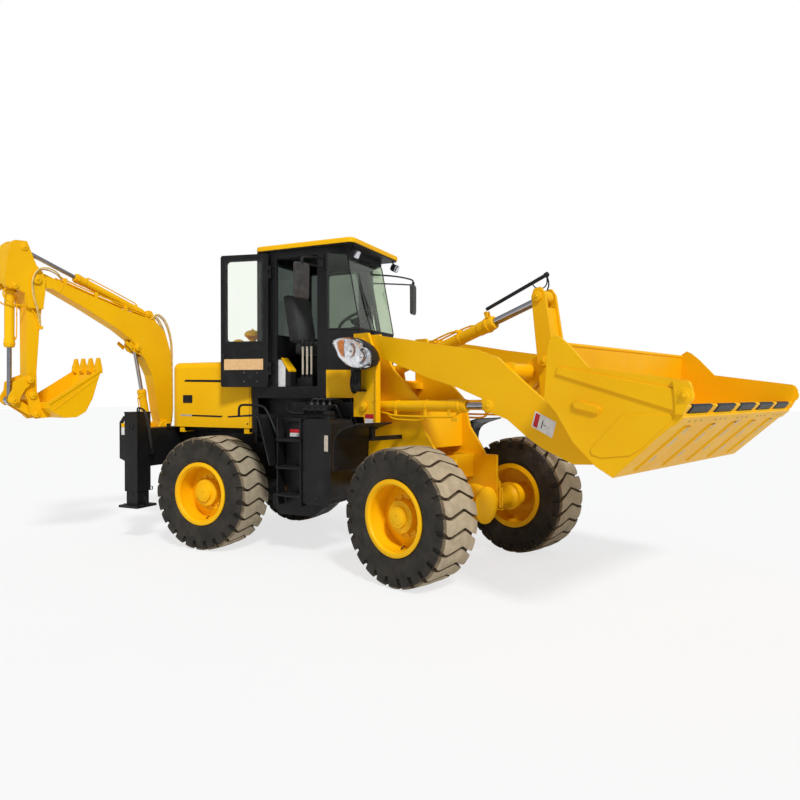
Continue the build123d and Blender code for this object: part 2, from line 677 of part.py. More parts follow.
def make_mirrors_and_lights():
    """Mirrors on tube arms and the work lights under the roof's front edge."""
    near_head = fillet(block((-14, 14), (-85, 85), (-162, 162)).edges(), 12)
    near = Location((-300, -CAB_HALF_WIDTH - 335, 2500), (0, 0, -20)) * near_head
    near_arm = joined([
        round_bar((-300, -CAB_HALF_WIDTH - 8, 2690), (-300, -CAB_HALF_WIDTH - 330, 2652), 10),
        block((-325, -275), (-CAB_HALF_WIDTH - 10, -CAB_HALF_WIDTH - SEAT), (2655, 2725)),
    ])
    far_head = fillet(block((-14, 14), (-85, 85), (-160, 160)).edges(), 12)
    far = Location((120, CAB_HALF_WIDTH + 275, 2505), (0, 0, 6)) * far_head
    far_arm = joined([
        round_bar((-300, CAB_HALF_WIDTH + 11, 2700), (118, CAB_HALF_WIDTH + 270, 2650), 10),
        block((-330, -270), (CAB_HALF_WIDTH + SEAT, CAB_HALF_WIDTH + 12), (2665, 2735)),
    ])
    keep("mirrors", [joined([near, near_arm]), joined([far, far_arm])])
    lights = []
    for sign in (1, -1):
        lamp = Pos(-10, sign * 430, 2790) * Rot(0, 90, 0) * Cylinder(62, 70)
        stem = block((-30, 10), sorted((sign * 415, sign * 445)), (2830, CAB_TOP))
        lights.append(joined([lamp, stem]))
    keep("work_lights", lights)


# ------------------------------------------------------------------ backhoe carrier
def make_backhoe_frame():
    """The cross box behind the hood with the stabilizer columns and the swing hinge."""
    x_low, x_high = -2320.0, CHASSIS_REAR_X - SEAT
    box = block((x_low, x_high), (-COLUMN_INNER_Y - 5, COLUMN_INNER_Y + 5), (745, 1130))
    box -= block((x_low + 20, x_high - 20), (-COLUMN_INNER_Y, COLUMN_INNER_Y), (765, 1110))
    pieces = [box]
    for sign in (1, -1):
        y_pair = sorted((sign * COLUMN_INNER_Y, sign * COLUMN_OUTER_Y))
        column = block(COLUMN_X, y_pair, (COLUMN_BOTTOM, COLUMN_TOP))
        bore_x = (COLUMN_X[0] + COLUMN_WALL, COLUMN_X[1] - COLUMN_WALL)
        bore_y = (y_pair[0] + COLUMN_WALL, y_pair[1] - COLUMN_WALL)
        hollow = block(bore_x, bore_y, (COLUMN_BOTTOM - 1, COLUMN_TOP - COLUMN_WALL))
        pieces.append(column - hollow)
        rear_x = COLUMN_X[0] + 2
        edge_x = rear_x - 154
        plate = [(rear_x, 764), (edge_x, 820), (edge_x, 1190), (rear_x - 100, 1254), (rear_x, 1254)]
        plate_y = sorted((sign * 845, sign * 875))
        lifting_plate = side_plate(plate, *plate_y)
        hole = cross_pin(LIFTING_EYE, LIFTING_EYE_RADIUS, plate_y[0] - 1, plate_y[1] + 1)
        pieces.append(lifting_plate - hole)
    for lug_z in SWING_LUG_Z:
        tongue = [(x_low + 4, -150), (SWING_X, -76), (SWING_X, 76), (x_low + 4, 150)]
        middle = lug_z + SWING_LUG_THICK / 2
        pieces.append(flat_plate(tongue, lug_z, lug_z + SWING_LUG_THICK))
        pieces.append(Pos(SWING_X, 0, middle) * Cylinder(76, SWING_LUG_THICK))
    for pin_low in (SWING_LUG_Z[0] - 10, SWING_LUG_Z[1] - SWING_LUG_THICK - 2 * GAP):
        pin_high = pin_low + 2 * SWING_LUG_THICK + 2 * GAP + 20
        pin = Cylinder(SWING_PIN_RADIUS, pin_high - pin_low)
        pieces.append(Pos(SWING_X, 0, (pin_low + pin_high) / 2) * pin)
    frame = joined(pieces)
    for sign in (1, -1):
        y_pair = sorted((sign * (COLUMN_INNER_Y + COLUMN_WALL), sign * (COLUMN_OUTER_Y - COLUMN_WALL)))
        inner_x = (COLUMN_X[0] + COLUMN_WALL, COLUMN_X[1] - COLUMN_WALL)
        frame -= block(inner_x, y_pair, (COLUMN_BOTTOM - 1, COLUMN_TOP - COLUMN_WALL))
    keep("backhoe_frame", [frame])


def make_stabilizer_legs():
    """A square leg in each column with its foot plate."""
    for side, sign in (("left", 1), ("right", -1)):
        inset = COLUMN_WALL + SEAT
        y_pair = sorted((sign * (COLUMN_INNER_Y + inset), sign * (COLUMN_OUTER_Y - inset)))
        leg = block((COLUMN_X[0] + inset, COLUMN_X[1] - inset), y_pair, (FOOT_Z + 20, COLUMN_TOP - 200))
        foot_y = sorted((sign * (COLUMN_INNER_Y - 40), sign * (COLUMN_OUTER_Y + 40)))
        foot = block((COLUMN_X[0] - 40, COLUMN_X[1] + 40), foot_y, (FOOT_Z, FOOT_Z + 24))
        keep(f"{side}_stabilizer_leg", [joined([leg, foot])])


# ------------------------------------------------------------------ front half
def make_front_chassis():
    """Side members, cross members and the tongues of the articulation hinge."""
    inner = SLOT_INNER - TOWER_PLATE
    thick = 30
    pieces = []
    for sign in (1, -1):
        y_pair = sorted((sign * (inner - thick), sign * inner))
        pieces.append(block((140, 1300), y_pair, (RAIL_BOTTOM, 940)))
    for x in (140, 700, 1020):
        pieces.append(block((x, x + 30), (-inner, inner), (RAIL_BOTTOM + 110, 940)))
    pieces.append(block((140, 180), (-inner, inner), (RAIL_BOTTOM, 940)))
    low_tongue = LOWER_LUG_Z + LUG_THICK + GAP
    high_tongue = UPPER_LUG_Z - GAP - LUG_THICK
    for z in (low_tongue, high_tongue):
        tongue = [(160, -190), (0, -HINGE_LUG_RADIUS), (0, HINGE_LUG_RADIUS), (160, 190)]
        lug = flat_plate(tongue, z, z + LUG_THICK)
        lug = joined([lug, Pos(0, 0, z + LUG_THICK / 2) * Cylinder(HINGE_LUG_RADIUS, LUG_THICK)])
        bore = Cylinder(HINGE_PIN_RADIUS + RUNNING, LUG_THICK + 2)
        pieces.append(lug - Pos(0, 0, z + LUG_THICK / 2) * bore)
    keep("front_chassis", [joined(pieces)], FRONT)


def make_front_axle():
    keep("front_axle", [axle(FRONT_AXLE_X)], FRONT)


def make_loader_tower():
    """Inner and outer plates with the slots for the arms, and the members between them."""
    rear = TOWER_REAR_X
    inner_outline = [
        (rear, 642), (1310, 642), (1310, 690), (1105, 1010), (975, 1180),
        (910, 1430), (620, 1690), (588, 1727),
        (440, 2022), (rear, 2022),
    ]
    outer_outline = [
        (rear, 1275), (430, 1275), (440, 1200), (600, 1200), (600, 1760), (480, 2022), (rear, 2022),
    ]
    inner_y = (SLOT_INNER - TOWER_PLATE + SEAT, SLOT_INNER)
    outer_y = (SLOT_OUTER, SLOT_OUTER + TOWER_PLATE)
    pieces = []
    for sign in (1, -1):
        pieces.append(side_plate(inner_outline, *sorted((sign * inner_y[0], sign * inner_y[1]))))
        pieces.append(side_plate(outer_outline, *sorted((sign * outer_y[0], sign * outer_y[1]))))
        shelf_y = sorted((sign * inner_y[0], sign * outer_y[1]))
        pieces.append(block((440, 600), shelf_y, (1200, 1224)))
        pieces.append(block((rear, 464), shelf_y, (1275, 1296)))
        pieces.append(block((440, 464), shelf_y, (1200, 1296)))
        for point in (ARM_PIVOT, LIFT_BASE):
            pin_y = sorted((sign * inner_y[0], sign * (outer_y[1] + 14)))
            pieces.append(cross_pin(point, ARM_PIN_RADIUS, *pin_y))
    inner = SLOT_INNER - 10
    pieces.append(block((rear, rear + 30), (-inner, inner), (960, 1610)))
    pieces.append(block((rear, rear + 100), (-inner, inner), (1530, 1592)))
    pieces.append(block((860, 890), (-inner, inner), (1000, 1400)))
    ear = TILT_EYE_HALF + SIDE_PLAY
    ear_outline = [
        (rear, 1580), (398, 1580), (376, 1680), (372, 1722), (362, 1740), (308, 1740), (rear, 1700),
    ]
    for sign in (1, -1):
        pieces.append(side_plate(ear_outline, *sorted((sign * ear, sign * (ear + 22)))))
    pieces.append(cross_pin(TILT_BASE, 25, -ear - 2, ear + 2))
    keep("loader_tower", [joined(pieces)], FRONT)


def make_front_mudguards():
    """Bent guards behind the front wheels."""
    edge = [(556, 845), (558, 1010), (576, 1120), (655, 1185), (850, 1240)]
    under = [(x + 7, z - 3) for x, z in edge]
    guards = []
    for sign in (1, -1):
        arm_y = sorted((sign * (SLOT_INNER + SEAT), sign * 700))
        arm = block((690, 726), arm_y, (1085, 1121))
        link = block((690, 726), sorted((sign * 660, sign * 700)), (1085, 1195))
        guards.append(joined([side_plate(edge + under[::-1], *sorted((sign * 590, sign * 985))), arm, link]))
    keep("front_mudguards", guards, FRONT)


def make_headlights():
    """Lamp housings on brackets outside the tower."""
    lamps = []
    for sign in (1, -1):
        low, high = sorted((sign * 545, sign * 700))
        outline = [(120, 1900), (300, 1968), (470, 1950), (588, 1850), (560, 1772), (400, 1768), (200, 1830)]
        lamp = side_plate(outline, low, high, 24)
        bracket_y = sorted((sign * (SLOT_OUTER + TOWER_PLATE + SEAT), sign * 600))
        bracket = block((350, 470), bracket_y, (1500, 1520))
        post = block((350, 470), sorted((sign * 585, sign * 600)), (1500, 1800))
        lamps.append(joined([lamp, bracket, post]))
    keep("headlights", lamps, FRONT)


# ------------------------------------------------------------------ loader linkage
def make_loader_arms():
    """Both arms, the cross tube and the bellcrank bracket in one weldment."""
    arm_outline = [
        (352, 1930), (380, 1995), (432, 2014), (924, 1938), (1256, 1879), (1639, 1821), (1843, 1752),
        (2122, 1527), (2330, 1368), (2700, 1172), (2790, 1110), (2760, 1030), (2690, 1015), (2627, 1010),
        (2473, 1000), (2231, 1095), (2107, 1167), (1935, 1291), (1800, 1335), (1740, 1332), (1706, 1370),
        (1700, 1445), (1463, 1530), (1149, 1614), (807, 1731), (470, 1850), (400, 1862),
    ]
    pieces = []
    for sign in (1, -1):
        low, high = sorted((sign * ARM_INNER, sign * ARM_OUTER))
        pieces.append(side_plate(arm_outline, low, high))
        pieces.append(cross_pin(BUCKET_HINGE, 72, low - ARM_BOSS, high + ARM_BOSS))
        boss_y = sorted((sign * (LIFT_PLANE + LIFT_EYE_HALF + SIDE_PLAY), sign * ARM_INNER))
        pieces.append(cross_pin(LIFT_EYE, 44, *boss_y))
    pieces.append(cross_pin(CROSS_TUBE, CROSS_TUBE_RADIUS, -ARM_INNER, ARM_INNER))
    bracket_outline = [(1700, 1620), (1836, 1500), (2060, 1660), (2075, 1760), (1990, 1800), (1740, 1700)]
    for sign in (1, -1):
        low, high = sorted((sign * 30, sign * 60))
        pieces.append(side_plate(bracket_outline, low, high, 10))
    pieces.append(cross_pin(CRANK_PIVOT, 34, -62, 62))
    pieces.append(cross_pin(CRANK_PIVOT, 30, -120, 120))
    arms = joined(pieces)
    for sign in (1, -1):
        low, high = sorted((sign * (ARM_INNER - 2 * ARM_BOSS), sign * (ARM_OUTER + 2 * ARM_BOSS)))
        arms -= cross_pin(ARM_PIVOT, ARM_PIN_RADIUS + RUNNING, low, high)
        arms -= cross_pin(BUCKET_HINGE, 30 + RUNNING, low, high)
    keep("loader_arms", [arms], FRONT)


def make_bellcrank():
    """Two plates on the crank pivot, spread to take the rod eye and the link between them."""
    outline = [
        (1890, 2240), (1912, 2300), (1970, 2310), (2008, 2255), (2092, 1760), (2116, 1160), (2096, 1100),
        (2030, 1094), (2002, 1150), (1952, 1700),
    ]
    pieces = [block((2010, 2100), (-92, 92), (1480, 1540))]
    for sign in (1, -1):
        pieces.append(side_plate(outline, *sorted((sign * 66, sign * 92)), 12))
    crank = joined(pieces) - cross_pin(CRANK_PIVOT, 30 + RUNNING, -100, 100)
    bosses = []
    for point in (CRANK_TOP, CRANK_FOOT):
        for sign in (1, -1):
            bosses.append(cross_pin(point, 36, *sorted((sign * 80, sign * 104))))
    keep("bellcrank", [joined([crank] + bosses)], FRONT)


def make_bucket_link():
    """The link from the bellcrank's foot to the bucket, hung on the bucket's pin."""
    link = strap(CRANK_FOOT, LINK_EYE, 52, -40, 40)
    link -= cross_pin(LINK_EYE, 28 + RUNNING, -41, 41)
    keep("bucket_link", [link], FRONT)


def make_loader_cylinders():
    """The lift and tilt cylinders."""
    lift = (LIFT_BASE, LIFT_EYE)
    tube = barrel(*lift, 1040, LIFT_BARREL_RADIUS * 0.92, LIFT_ROD_RADIUS, ARM_PIN_RADIUS, 45)
    shaft = rod(*lift, 340, LIFT_ROD_RADIUS, 28, LIFT_EYE_HALF)
    keep("lift_cylinder_barrels", [Pos(0, sign * LIFT_PLANE, 0) * tube for sign in (1, -1)], FRONT)
    keep("lift_cylinder_rods", [Pos(0, sign * LIFT_PLANE, 0) * shaft for sign in (1, -1)], FRONT)
    tilt = (TILT_BASE, CRANK_TOP)
    tilt_tube = barrel(*tilt, 1180, TILT_BARREL_RADIUS * 0.92, TILT_ROD_RADIUS, 25, TILT_EYE_HALF)
    tilt_shaft = rod(*tilt, 500, TILT_ROD_RADIUS, 30, 50)
    keep("tilt_cylinder_barrel", [tilt_tube], FRONT)
    keep("tilt_cylinder_rod", [tilt_shaft], FRONT)


def make_loader_bucket():
    """The bucket: a bent shell between two sides, with its ears and pins."""
    outer = [
        (2612, 1778), (2600, 1580), (2588, 1452), (2668, 1370), (2781, 1197), (2926, 1065), BUCKET_HEEL,
        BUCKET_LIP,
    ]
    inner = [
        (3396, 1376), (3030, 1034), (2936, 1084), (2796, 1208), (2684, 1380), (2606, 1462), (2616, 1578),
        (2628, 1778),
    ]
    side_outline = [
        (2608, 1740), (2620, 1800), (2664, 1830), (2700, 1812), (2765, 1755), (2880, 1630), (3435, 1548),
        (3450, 1530), BUCKET_LIP, BUCKET_HEEL, (2926, 1065), (2781, 1197), (2668, 1370), (2588, 1452),
        (2600, 1580),
    ]
    half = BUCKET_HALF_WIDTH
    pieces = [side_plate(outer + inner, -half + 1, half - 1)]
    ear_outline = [
        (2662, 1382), (2640, 1180), (2660, 1060), (2720, 1035), (2790, 1060), (2870, 1090), (2790, 1190),
    ]
    link_ear = [(2608, 1500), (2500, 1440), (2488, 1390), (2510, 1345), (2560, 1330), (2690, 1345)]
    inner_face = ARM_INNER - ARM_BOSS - SIDE_PLAY
    outer_face = ARM_OUTER + ARM_BOSS + SIDE_PLAY
    link_face = 40 + SIDE_PLAY
    for sign in (1, -1):
        pieces.append(side_plate(side_outline, *sorted((sign * (half - 20), sign * half))))
        for face in (inner_face - 24, outer_face):
            pieces.append(side_plate(ear_outline, *sorted((sign * face, sign * (face + 24)))))
        pin_y = sorted((sign * (inner_face - 30), sign * (outer_face + 30)))
        pieces.append(cross_pin(BUCKET_HINGE, 30, *pin_y))
        pieces.append(side_plate(link_ear, *sorted((sign * link_face, sign * (link_face + 24)))))
    pieces.append(cross_pin(LINK_EYE, 28, -80, 80))
    keep("loader_bucket", [joined(pieces)], FRONT)


def make_loader_teeth():
    """Bolted teeth on the upper side of the floor's cutting edge."""
    heel, lip = BUCKET_HEEL, BUCKET_LIP
    _, (ux, uz) = direction(heel, lip)
    nx, nz = -uz, ux
    width = 70.0
    span = 2 * BUCKET_HALF_WIDTH - width

    def spot(distance, height):
        return (lip[0] + ux * distance + nx * height, lip[1] + uz * distance + nz * height)

    low = BUCKET_SKIN + 4
    profile = [spot(-200, low), spot(-160, low + 52), spot(-70, low + 58), spot(40, low + 8), spot(40, low)]
    teeth = []
    for index in range(TOOTH_COUNT):
        y = -BUCKET_HALF_WIDTH + index * span / (TOOTH_COUNT - 1)
        inset = TOOTH_SIDE_GAP if index == 0 else -TOOTH_SIDE_GAP if index == TOOTH_COUNT - 1 else 0
        teeth.append(side_plate(profile, y + inset, y + inset + width))
    keep("loader_bucket_teeth", teeth, FRONT)


# ------------------------------------------------------------------ backhoe
def make_swing_post():
    """The post on the swing hinge that carries the boom and its cylinder."""
    pieces = []
    back = POST_BACK
    thick = SWING_LUG_THICK
    for z in (SWING_LUG_Z[0] + thick + GAP, SWING_LUG_Z[1] - GAP - thick):
        lug = flat_plate([(0, -70), (back + 40, -100), (back + 40, 100), (0, 70)], z, z + thick)
        lug = joined([lug, Pos(0, 0, z + thick / 2) * Cylinder(70, thick)])
        pieces.append(lug - Pos(0, 0, z + thick / 2) * Cylinder(SWING_PIN_RADIUS + RUNNING, thick + 2))
    pieces.append(block((back, back + 60), (-100, 100), (SWING_LUG_Z[0], 1035)))
    cheek = [
        (back, SWING_LUG_Z[0]), (330, 890), (368, 985), (340, 1055), (250, 1085), (200, 1160), (130, 1185),
        (82, 1165), (72, 1120), (back, 1050),
    ]
    ear = BOOM_HALF_WIDTH + SIDE_PLAY
    for sign in (1, -1):
        pieces.append(side_plate(cheek, *sorted((sign * ear, sign * (ear + 28))), 8))
    pieces.append(cross_pin(BOOM_PIVOT, 32, -ear - 40, ear + 40))
    pieces.append(cross_pin(BOOM_CYL_BASE, 26, -ear - 5, ear + 5))
    keep("swing_post", [joined(pieces)], BACKHOE)


def make_boom():
    """The cranked boom with its ears for the cylinders."""
    half = BOOM_HALF_WIDTH
    outline = [
        (70, 1120), (42, 1200), (32, 1320), (40, 1700), (58, 1970), (126, 2175), (230, 2275), (362, 2322),
        (659, 2385), (1000, 2478), (1298, 2562), (1500, 2630), (1580, 2645), (1640, 2615), (1656, 2556),
        (1625, 2505), (1570, 2492), (1418, 2496), (1050, 2330), (720, 2168), (560, 2065), (470, 1970),
        (386, 1850), (300, 1690), (258, 1500), (228, 1300), (196, 1176), (192, 1120),
    ]
    boom = joined([side_plate(outline, -half, half), cross_pin(BOOM_PIVOT, 62, -half, half)])
    boom -= cross_pin(BOOM_PIVOT, 32 + RUNNING, -half - 1, half + 1)
    boom -= cross_pin(BOOM_CYL_EYE, BOOM_EYE_POCKET, -BOOM_FORK, BOOM_FORK)
    boom -= cross_pin(DIPPER_PIVOT, 30 + RUNNING, -half - 1, half + 1)
    under_ear = [(380, 1880), (452, 1915), (535, 1948), (566, 2000), (556, 2050), (500, 2080), (430, 2010)]
    top_ear = [(236, 2285), (290, 2400), (336, 2408), (366, 2394), (374, 2330), (330, 2300)]
    ears = [cross_pin(DIPPER_CYL_BASE, 22, -60, 60)]
    for sign in (1, -1):
        ear_y = sorted((sign * BOOM_FORK, sign * (BOOM_FORK + 22)))
        ears.append(side_plate(under_ear, *ear_y, 8))
        ears.append(side_plate(top_ear, *ear_y))
    keep("boom", [joined([boom] + ears)], BACKHOE)


def make_dipper():
    """The dipper on the boom's end with its horn, and the pins of the bucket linkage."""
    half = DIPPER_HALF_WIDTH
    fork = BOOM_HALF_WIDTH + SIDE_PLAY
    cheek = fork + 20
    outline = [
        (1676, 2908), (1780, 2900), (1824, 2862), (1842, 2790), (1876, 2533), (1868, 2470), (1830, 2450),
        (1755, 2449), (1694, 2420), (1668, 2300), (1666, 1560), (1680, 1470), (1668, 1430), (1627, 1412),
        (1586, 1430), (1574, 1480), (1578, 1684), (1550, 2079), (1528, 2279), (1506, 2450), (1504, 2560),
        (1530, 2640), (1590, 2700),
    ]
    body = side_plate(outline, -cheek, cheek)
    for sign in (1, -1):
        slim_y = sorted((sign * half, sign * (cheek + 1)))
        body -= block((1300, 2000), slim_y, (1000, HEAD_PLATE_BOTTOM))
    body -= cross_pin(DIPPER_PIVOT, 150, -fork, fork)
    body -= block((1300, 1632), (-fork, fork), (2390, 2950))
    body -= cross_pin(DIPPER_CYL_EYE, 118, -BOOM_FORK, BOOM_FORK)
    body -= block((1500, 1720), (-BOOM_FORK, BOOM_FORK), (2690, 2950))
    body -= cross_pin(BUCKET_CYL_BASE, 80, -BOOM_FORK, BOOM_FORK)
    body -= block((1730, 1900), (-BOOM_FORK, BOOM_FORK), (2300, 2490))
    pins = [
        cross_pin(DIPPER_PIVOT, 30, -fork - 30, fork + 30),
        cross_pin(ROCKER_PIVOT, 24, -95, 95),
        cross_pin(BUCKET_CYL_BASE, 22, -cheek - 5, cheek + 5),
    ]
    shape = joined([body] + pins)
    shape -= cross_pin(BACKHOE_BUCKET_PIVOT, 26 + RUNNING, -half - 1, half + 1)
    keep("dipper", [shape], BACKHOE)


def make_backhoe_links():
    """The curved rocker on the dipper and the push link on the bucket."""
    rocker = []
    outline = [
        (1652, 1665), (1729, 1634), (1800, 1590), (1806, 1520), (1842, 1460), (1842, 1410), (1797, 1372),
        (1750, 1400), (1738, 1450), (1691, 1529), (1612, 1590), (1612, 1640),
    ]
    for sign in (1, -1):
        low, high = sorted((sign * 70, sign * 86))
        plate = side_plate(outline, low, high, 12)
        rocker.append(plate - cross_pin(ROCKER_PIVOT, 24 + RUNNING, low - 1, high + 1))
    keep("rocker_link", rocker, BACKHOE)
    push = []
    for sign in (1, -1):
        low, high = sorted((sign * 36, sign * 50))
        plate = strap(PUSH_LINK_PIN, BUCKET_CYL_EYE, 36, low, high)
        push.append(plate - cross_pin(PUSH_LINK_PIN, 22 + RUNNING, low - 1, high + 1))
    keep("push_link", push, BACKHOE)


def make_backhoe_bucket():
    """The digging bucket, curled, with its ears and teeth."""
    half = BACKHOE_BUCKET_HALF_WIDTH
    skin = 14
    outline = [
        (1558, 1402), (1070, 1708), (1004, 1740), (1010, 1722), (1053, 1605), (1106, 1436), (1180, 1305),
        (1275, 1253), (1395, 1250), (1492, 1296), (1552, 1345),
    ]
    cavity = [
        (1560, 1420), (1060, 1745), (1016, 1752), (1024, 1726), (1066, 1610), (1119, 1442), (1190, 1316),
        (1279, 1267), (1391, 1264), (1486, 1308), (1538, 1352),
    ]
    shell = side_plate(outline, -half, half) - side_plate(cavity, -half + skin, half - skin)
    ear = [
        (1627, 1512), (1586, 1500), (1552, 1400), (1460, 1290), (1460, 1256), (1600, 1246), (1642, 1290),
        (1674, 1440), (1665, 1494),
    ]
    inner = DIPPER_HALF_WIDTH + SIDE_PLAY
    pieces = [shell]
    for sign in (1, -1):
        pieces.append(side_plate(ear, *sorted((sign * inner, sign * (inner + 20)))))
    pin_half = inner + 27
    pieces.append(cross_pin(BACKHOE_BUCKET_PIVOT, 26, -pin_half, pin_half))
    pieces.append(cross_pin(PUSH_LINK_PIN, 22, -pin_half, pin_half))
    tooth = [(1000, 1690), (1046, 1690), (1066, 1716), (1052, 1780), (1036, 1845), (1024, 1845), (1000, 1745)]
    count = 4
    width = 50
    for index in range(count):
        y = -half + index * (2 * half - width) / (count - 1)
        pieces.append(side_plate(tooth, y, y + width))
    keep("backhoe_bucket", [joined(pieces)], BACKHOE)


def make_backhoe_cylinders():
    """Boom, dipper and bucket cylinders."""
    table = (
        # name, base, eye, tube length, rod start, base pin radius
        ("boom_cylinder", BOOM_CYL_BASE, BOOM_CYL_EYE, 530.0, 390.0, 26),
        ("dipper_cylinder", DIPPER_CYL_BASE, DIPPER_CYL_EYE, 860.0, 600.0, 22),
        ("bucket_cylinder", BUCKET_CYL_BASE, BUCKET_CYL_EYE, 557.0, 330.0, 22),
    )
    half_eye = BOOM_FORK - SIDE_PLAY
    for name, base, eye, length, start, pin in table:
        tube = barrel(base, eye, length, BACKHOE_BARREL_RADIUS, BACKHOE_ROD_RADIUS, pin, half_eye)
        keep(f"{name}_barrel", [tube], BACKHOE)
        keep(f"{name}_rod", [rod(base, eye, start, BACKHOE_ROD_RADIUS, 24, half_eye - 1)], BACKHOE)


# ------------------------------------------------------------------ the whole machine
def make_all():
    """Every piece, in the rear frame."""
    make_rear_chassis()
    make_rear_axle()
    make_engine()
    make_hood()
    make_hood_stacks()
    make_rear_fenders()
    make_side_tanks()
    make_access_steps()
    make_cab_floor()
    make_cab_frame()
    make_cab_glass()
    make_cab_roof()
    make_doors()
    make_cab_inside()
    make_mirrors_and_lights()
    make_backhoe_frame()
    make_stabilizer_legs()
    make_front_chassis()
    make_front_axle()
    make_loader_tower()
    make_front_mudguards()
    make_headlights()
    make_wheels()
    make_loader_arms()
    make_bellcrank()
    make_bucket_link()
    make_loader_cylinders()
    make_loader_bucket()
    make_loader_teeth()
    make_swing_post()
    make_boom()
    make_dipper()
    make_backhoe_links()
    make_backhoe_bucket()
    make_backhoe_cylinders()


make_all()
whole = Compound([solid for piece in PIECES.values() for solid in piece.solids()]).bounding_box()
ORIGIN_SHIFT = Vector(-(whole.min.X + whole.max.X) / 2, -(whole.min.Y + whole.max.Y) / 2, -whole.min.Z)
os.makedirs("parts", exist_ok=True)
for piece_name, piece in PIECES.items():
    export_step(Pos(*ORIGIN_SHIFT) * piece, f"parts/{piece_name}.step")
print(len(PIECES), "nodes; size", whole.size, "shift", ORIGIN_SHIFT)
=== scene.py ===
"""Looks of the articulated backhoe loader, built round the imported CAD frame.

Local drawing frames are the CAD's own: rear half, front half and backhoe, all in millimetres.
Everything is scaled to metres as it is placed.
"""
import json
from math import cos, hypot, pi, radians, sin

import bmesh
import bpy
from mathutils import Matrix, Vector

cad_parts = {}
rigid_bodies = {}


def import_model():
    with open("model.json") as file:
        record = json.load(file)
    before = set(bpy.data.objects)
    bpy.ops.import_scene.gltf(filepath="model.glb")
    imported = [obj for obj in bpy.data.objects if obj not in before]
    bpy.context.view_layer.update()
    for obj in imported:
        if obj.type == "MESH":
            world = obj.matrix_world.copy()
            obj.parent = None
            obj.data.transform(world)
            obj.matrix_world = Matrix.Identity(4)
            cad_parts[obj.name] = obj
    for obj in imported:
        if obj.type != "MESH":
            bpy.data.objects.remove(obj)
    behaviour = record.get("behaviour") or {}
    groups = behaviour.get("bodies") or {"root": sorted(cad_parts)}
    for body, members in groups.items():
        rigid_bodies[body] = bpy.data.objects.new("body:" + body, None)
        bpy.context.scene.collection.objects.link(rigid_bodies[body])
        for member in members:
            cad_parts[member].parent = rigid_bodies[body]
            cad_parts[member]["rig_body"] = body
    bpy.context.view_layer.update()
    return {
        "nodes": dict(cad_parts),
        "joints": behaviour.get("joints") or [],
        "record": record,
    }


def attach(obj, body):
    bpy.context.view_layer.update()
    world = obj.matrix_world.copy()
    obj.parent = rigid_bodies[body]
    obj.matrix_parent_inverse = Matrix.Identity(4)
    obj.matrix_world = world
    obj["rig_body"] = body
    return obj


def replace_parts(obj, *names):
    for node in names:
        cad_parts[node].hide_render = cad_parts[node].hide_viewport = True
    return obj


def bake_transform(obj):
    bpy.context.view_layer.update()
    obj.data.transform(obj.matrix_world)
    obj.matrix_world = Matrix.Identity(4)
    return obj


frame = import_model()
NODES = frame["nodes"]
JOINTS = {joint["name"]: joint for joint in frame["joints"]}

# ------------------------------------------------------------------ local frames
STEER_AT_REST = -19.2
SWING_AT_REST = 82.0
MILLIMETRE = Matrix.Scale(0.001, 4)


def frame_at(joint, turn):
    """The local frame on a joint's upright axis, with its origin on the ground."""
    x, y, _ = JOINTS[joint]["pos_m"]
    return Matrix.Translation((x, y, 0)) @ Matrix.Rotation(radians(turn), 4, "Z") @ MILLIMETRE


REAR = frame_at("articulation_steer", 0)
FRONT = frame_at("articulation_steer", STEER_AT_REST)
HOE = frame_at("backhoe_swing", 180 + SWING_AT_REST)


# ------------------------------------------------------------------ materials
def grey(value):
    return (value, value, value)


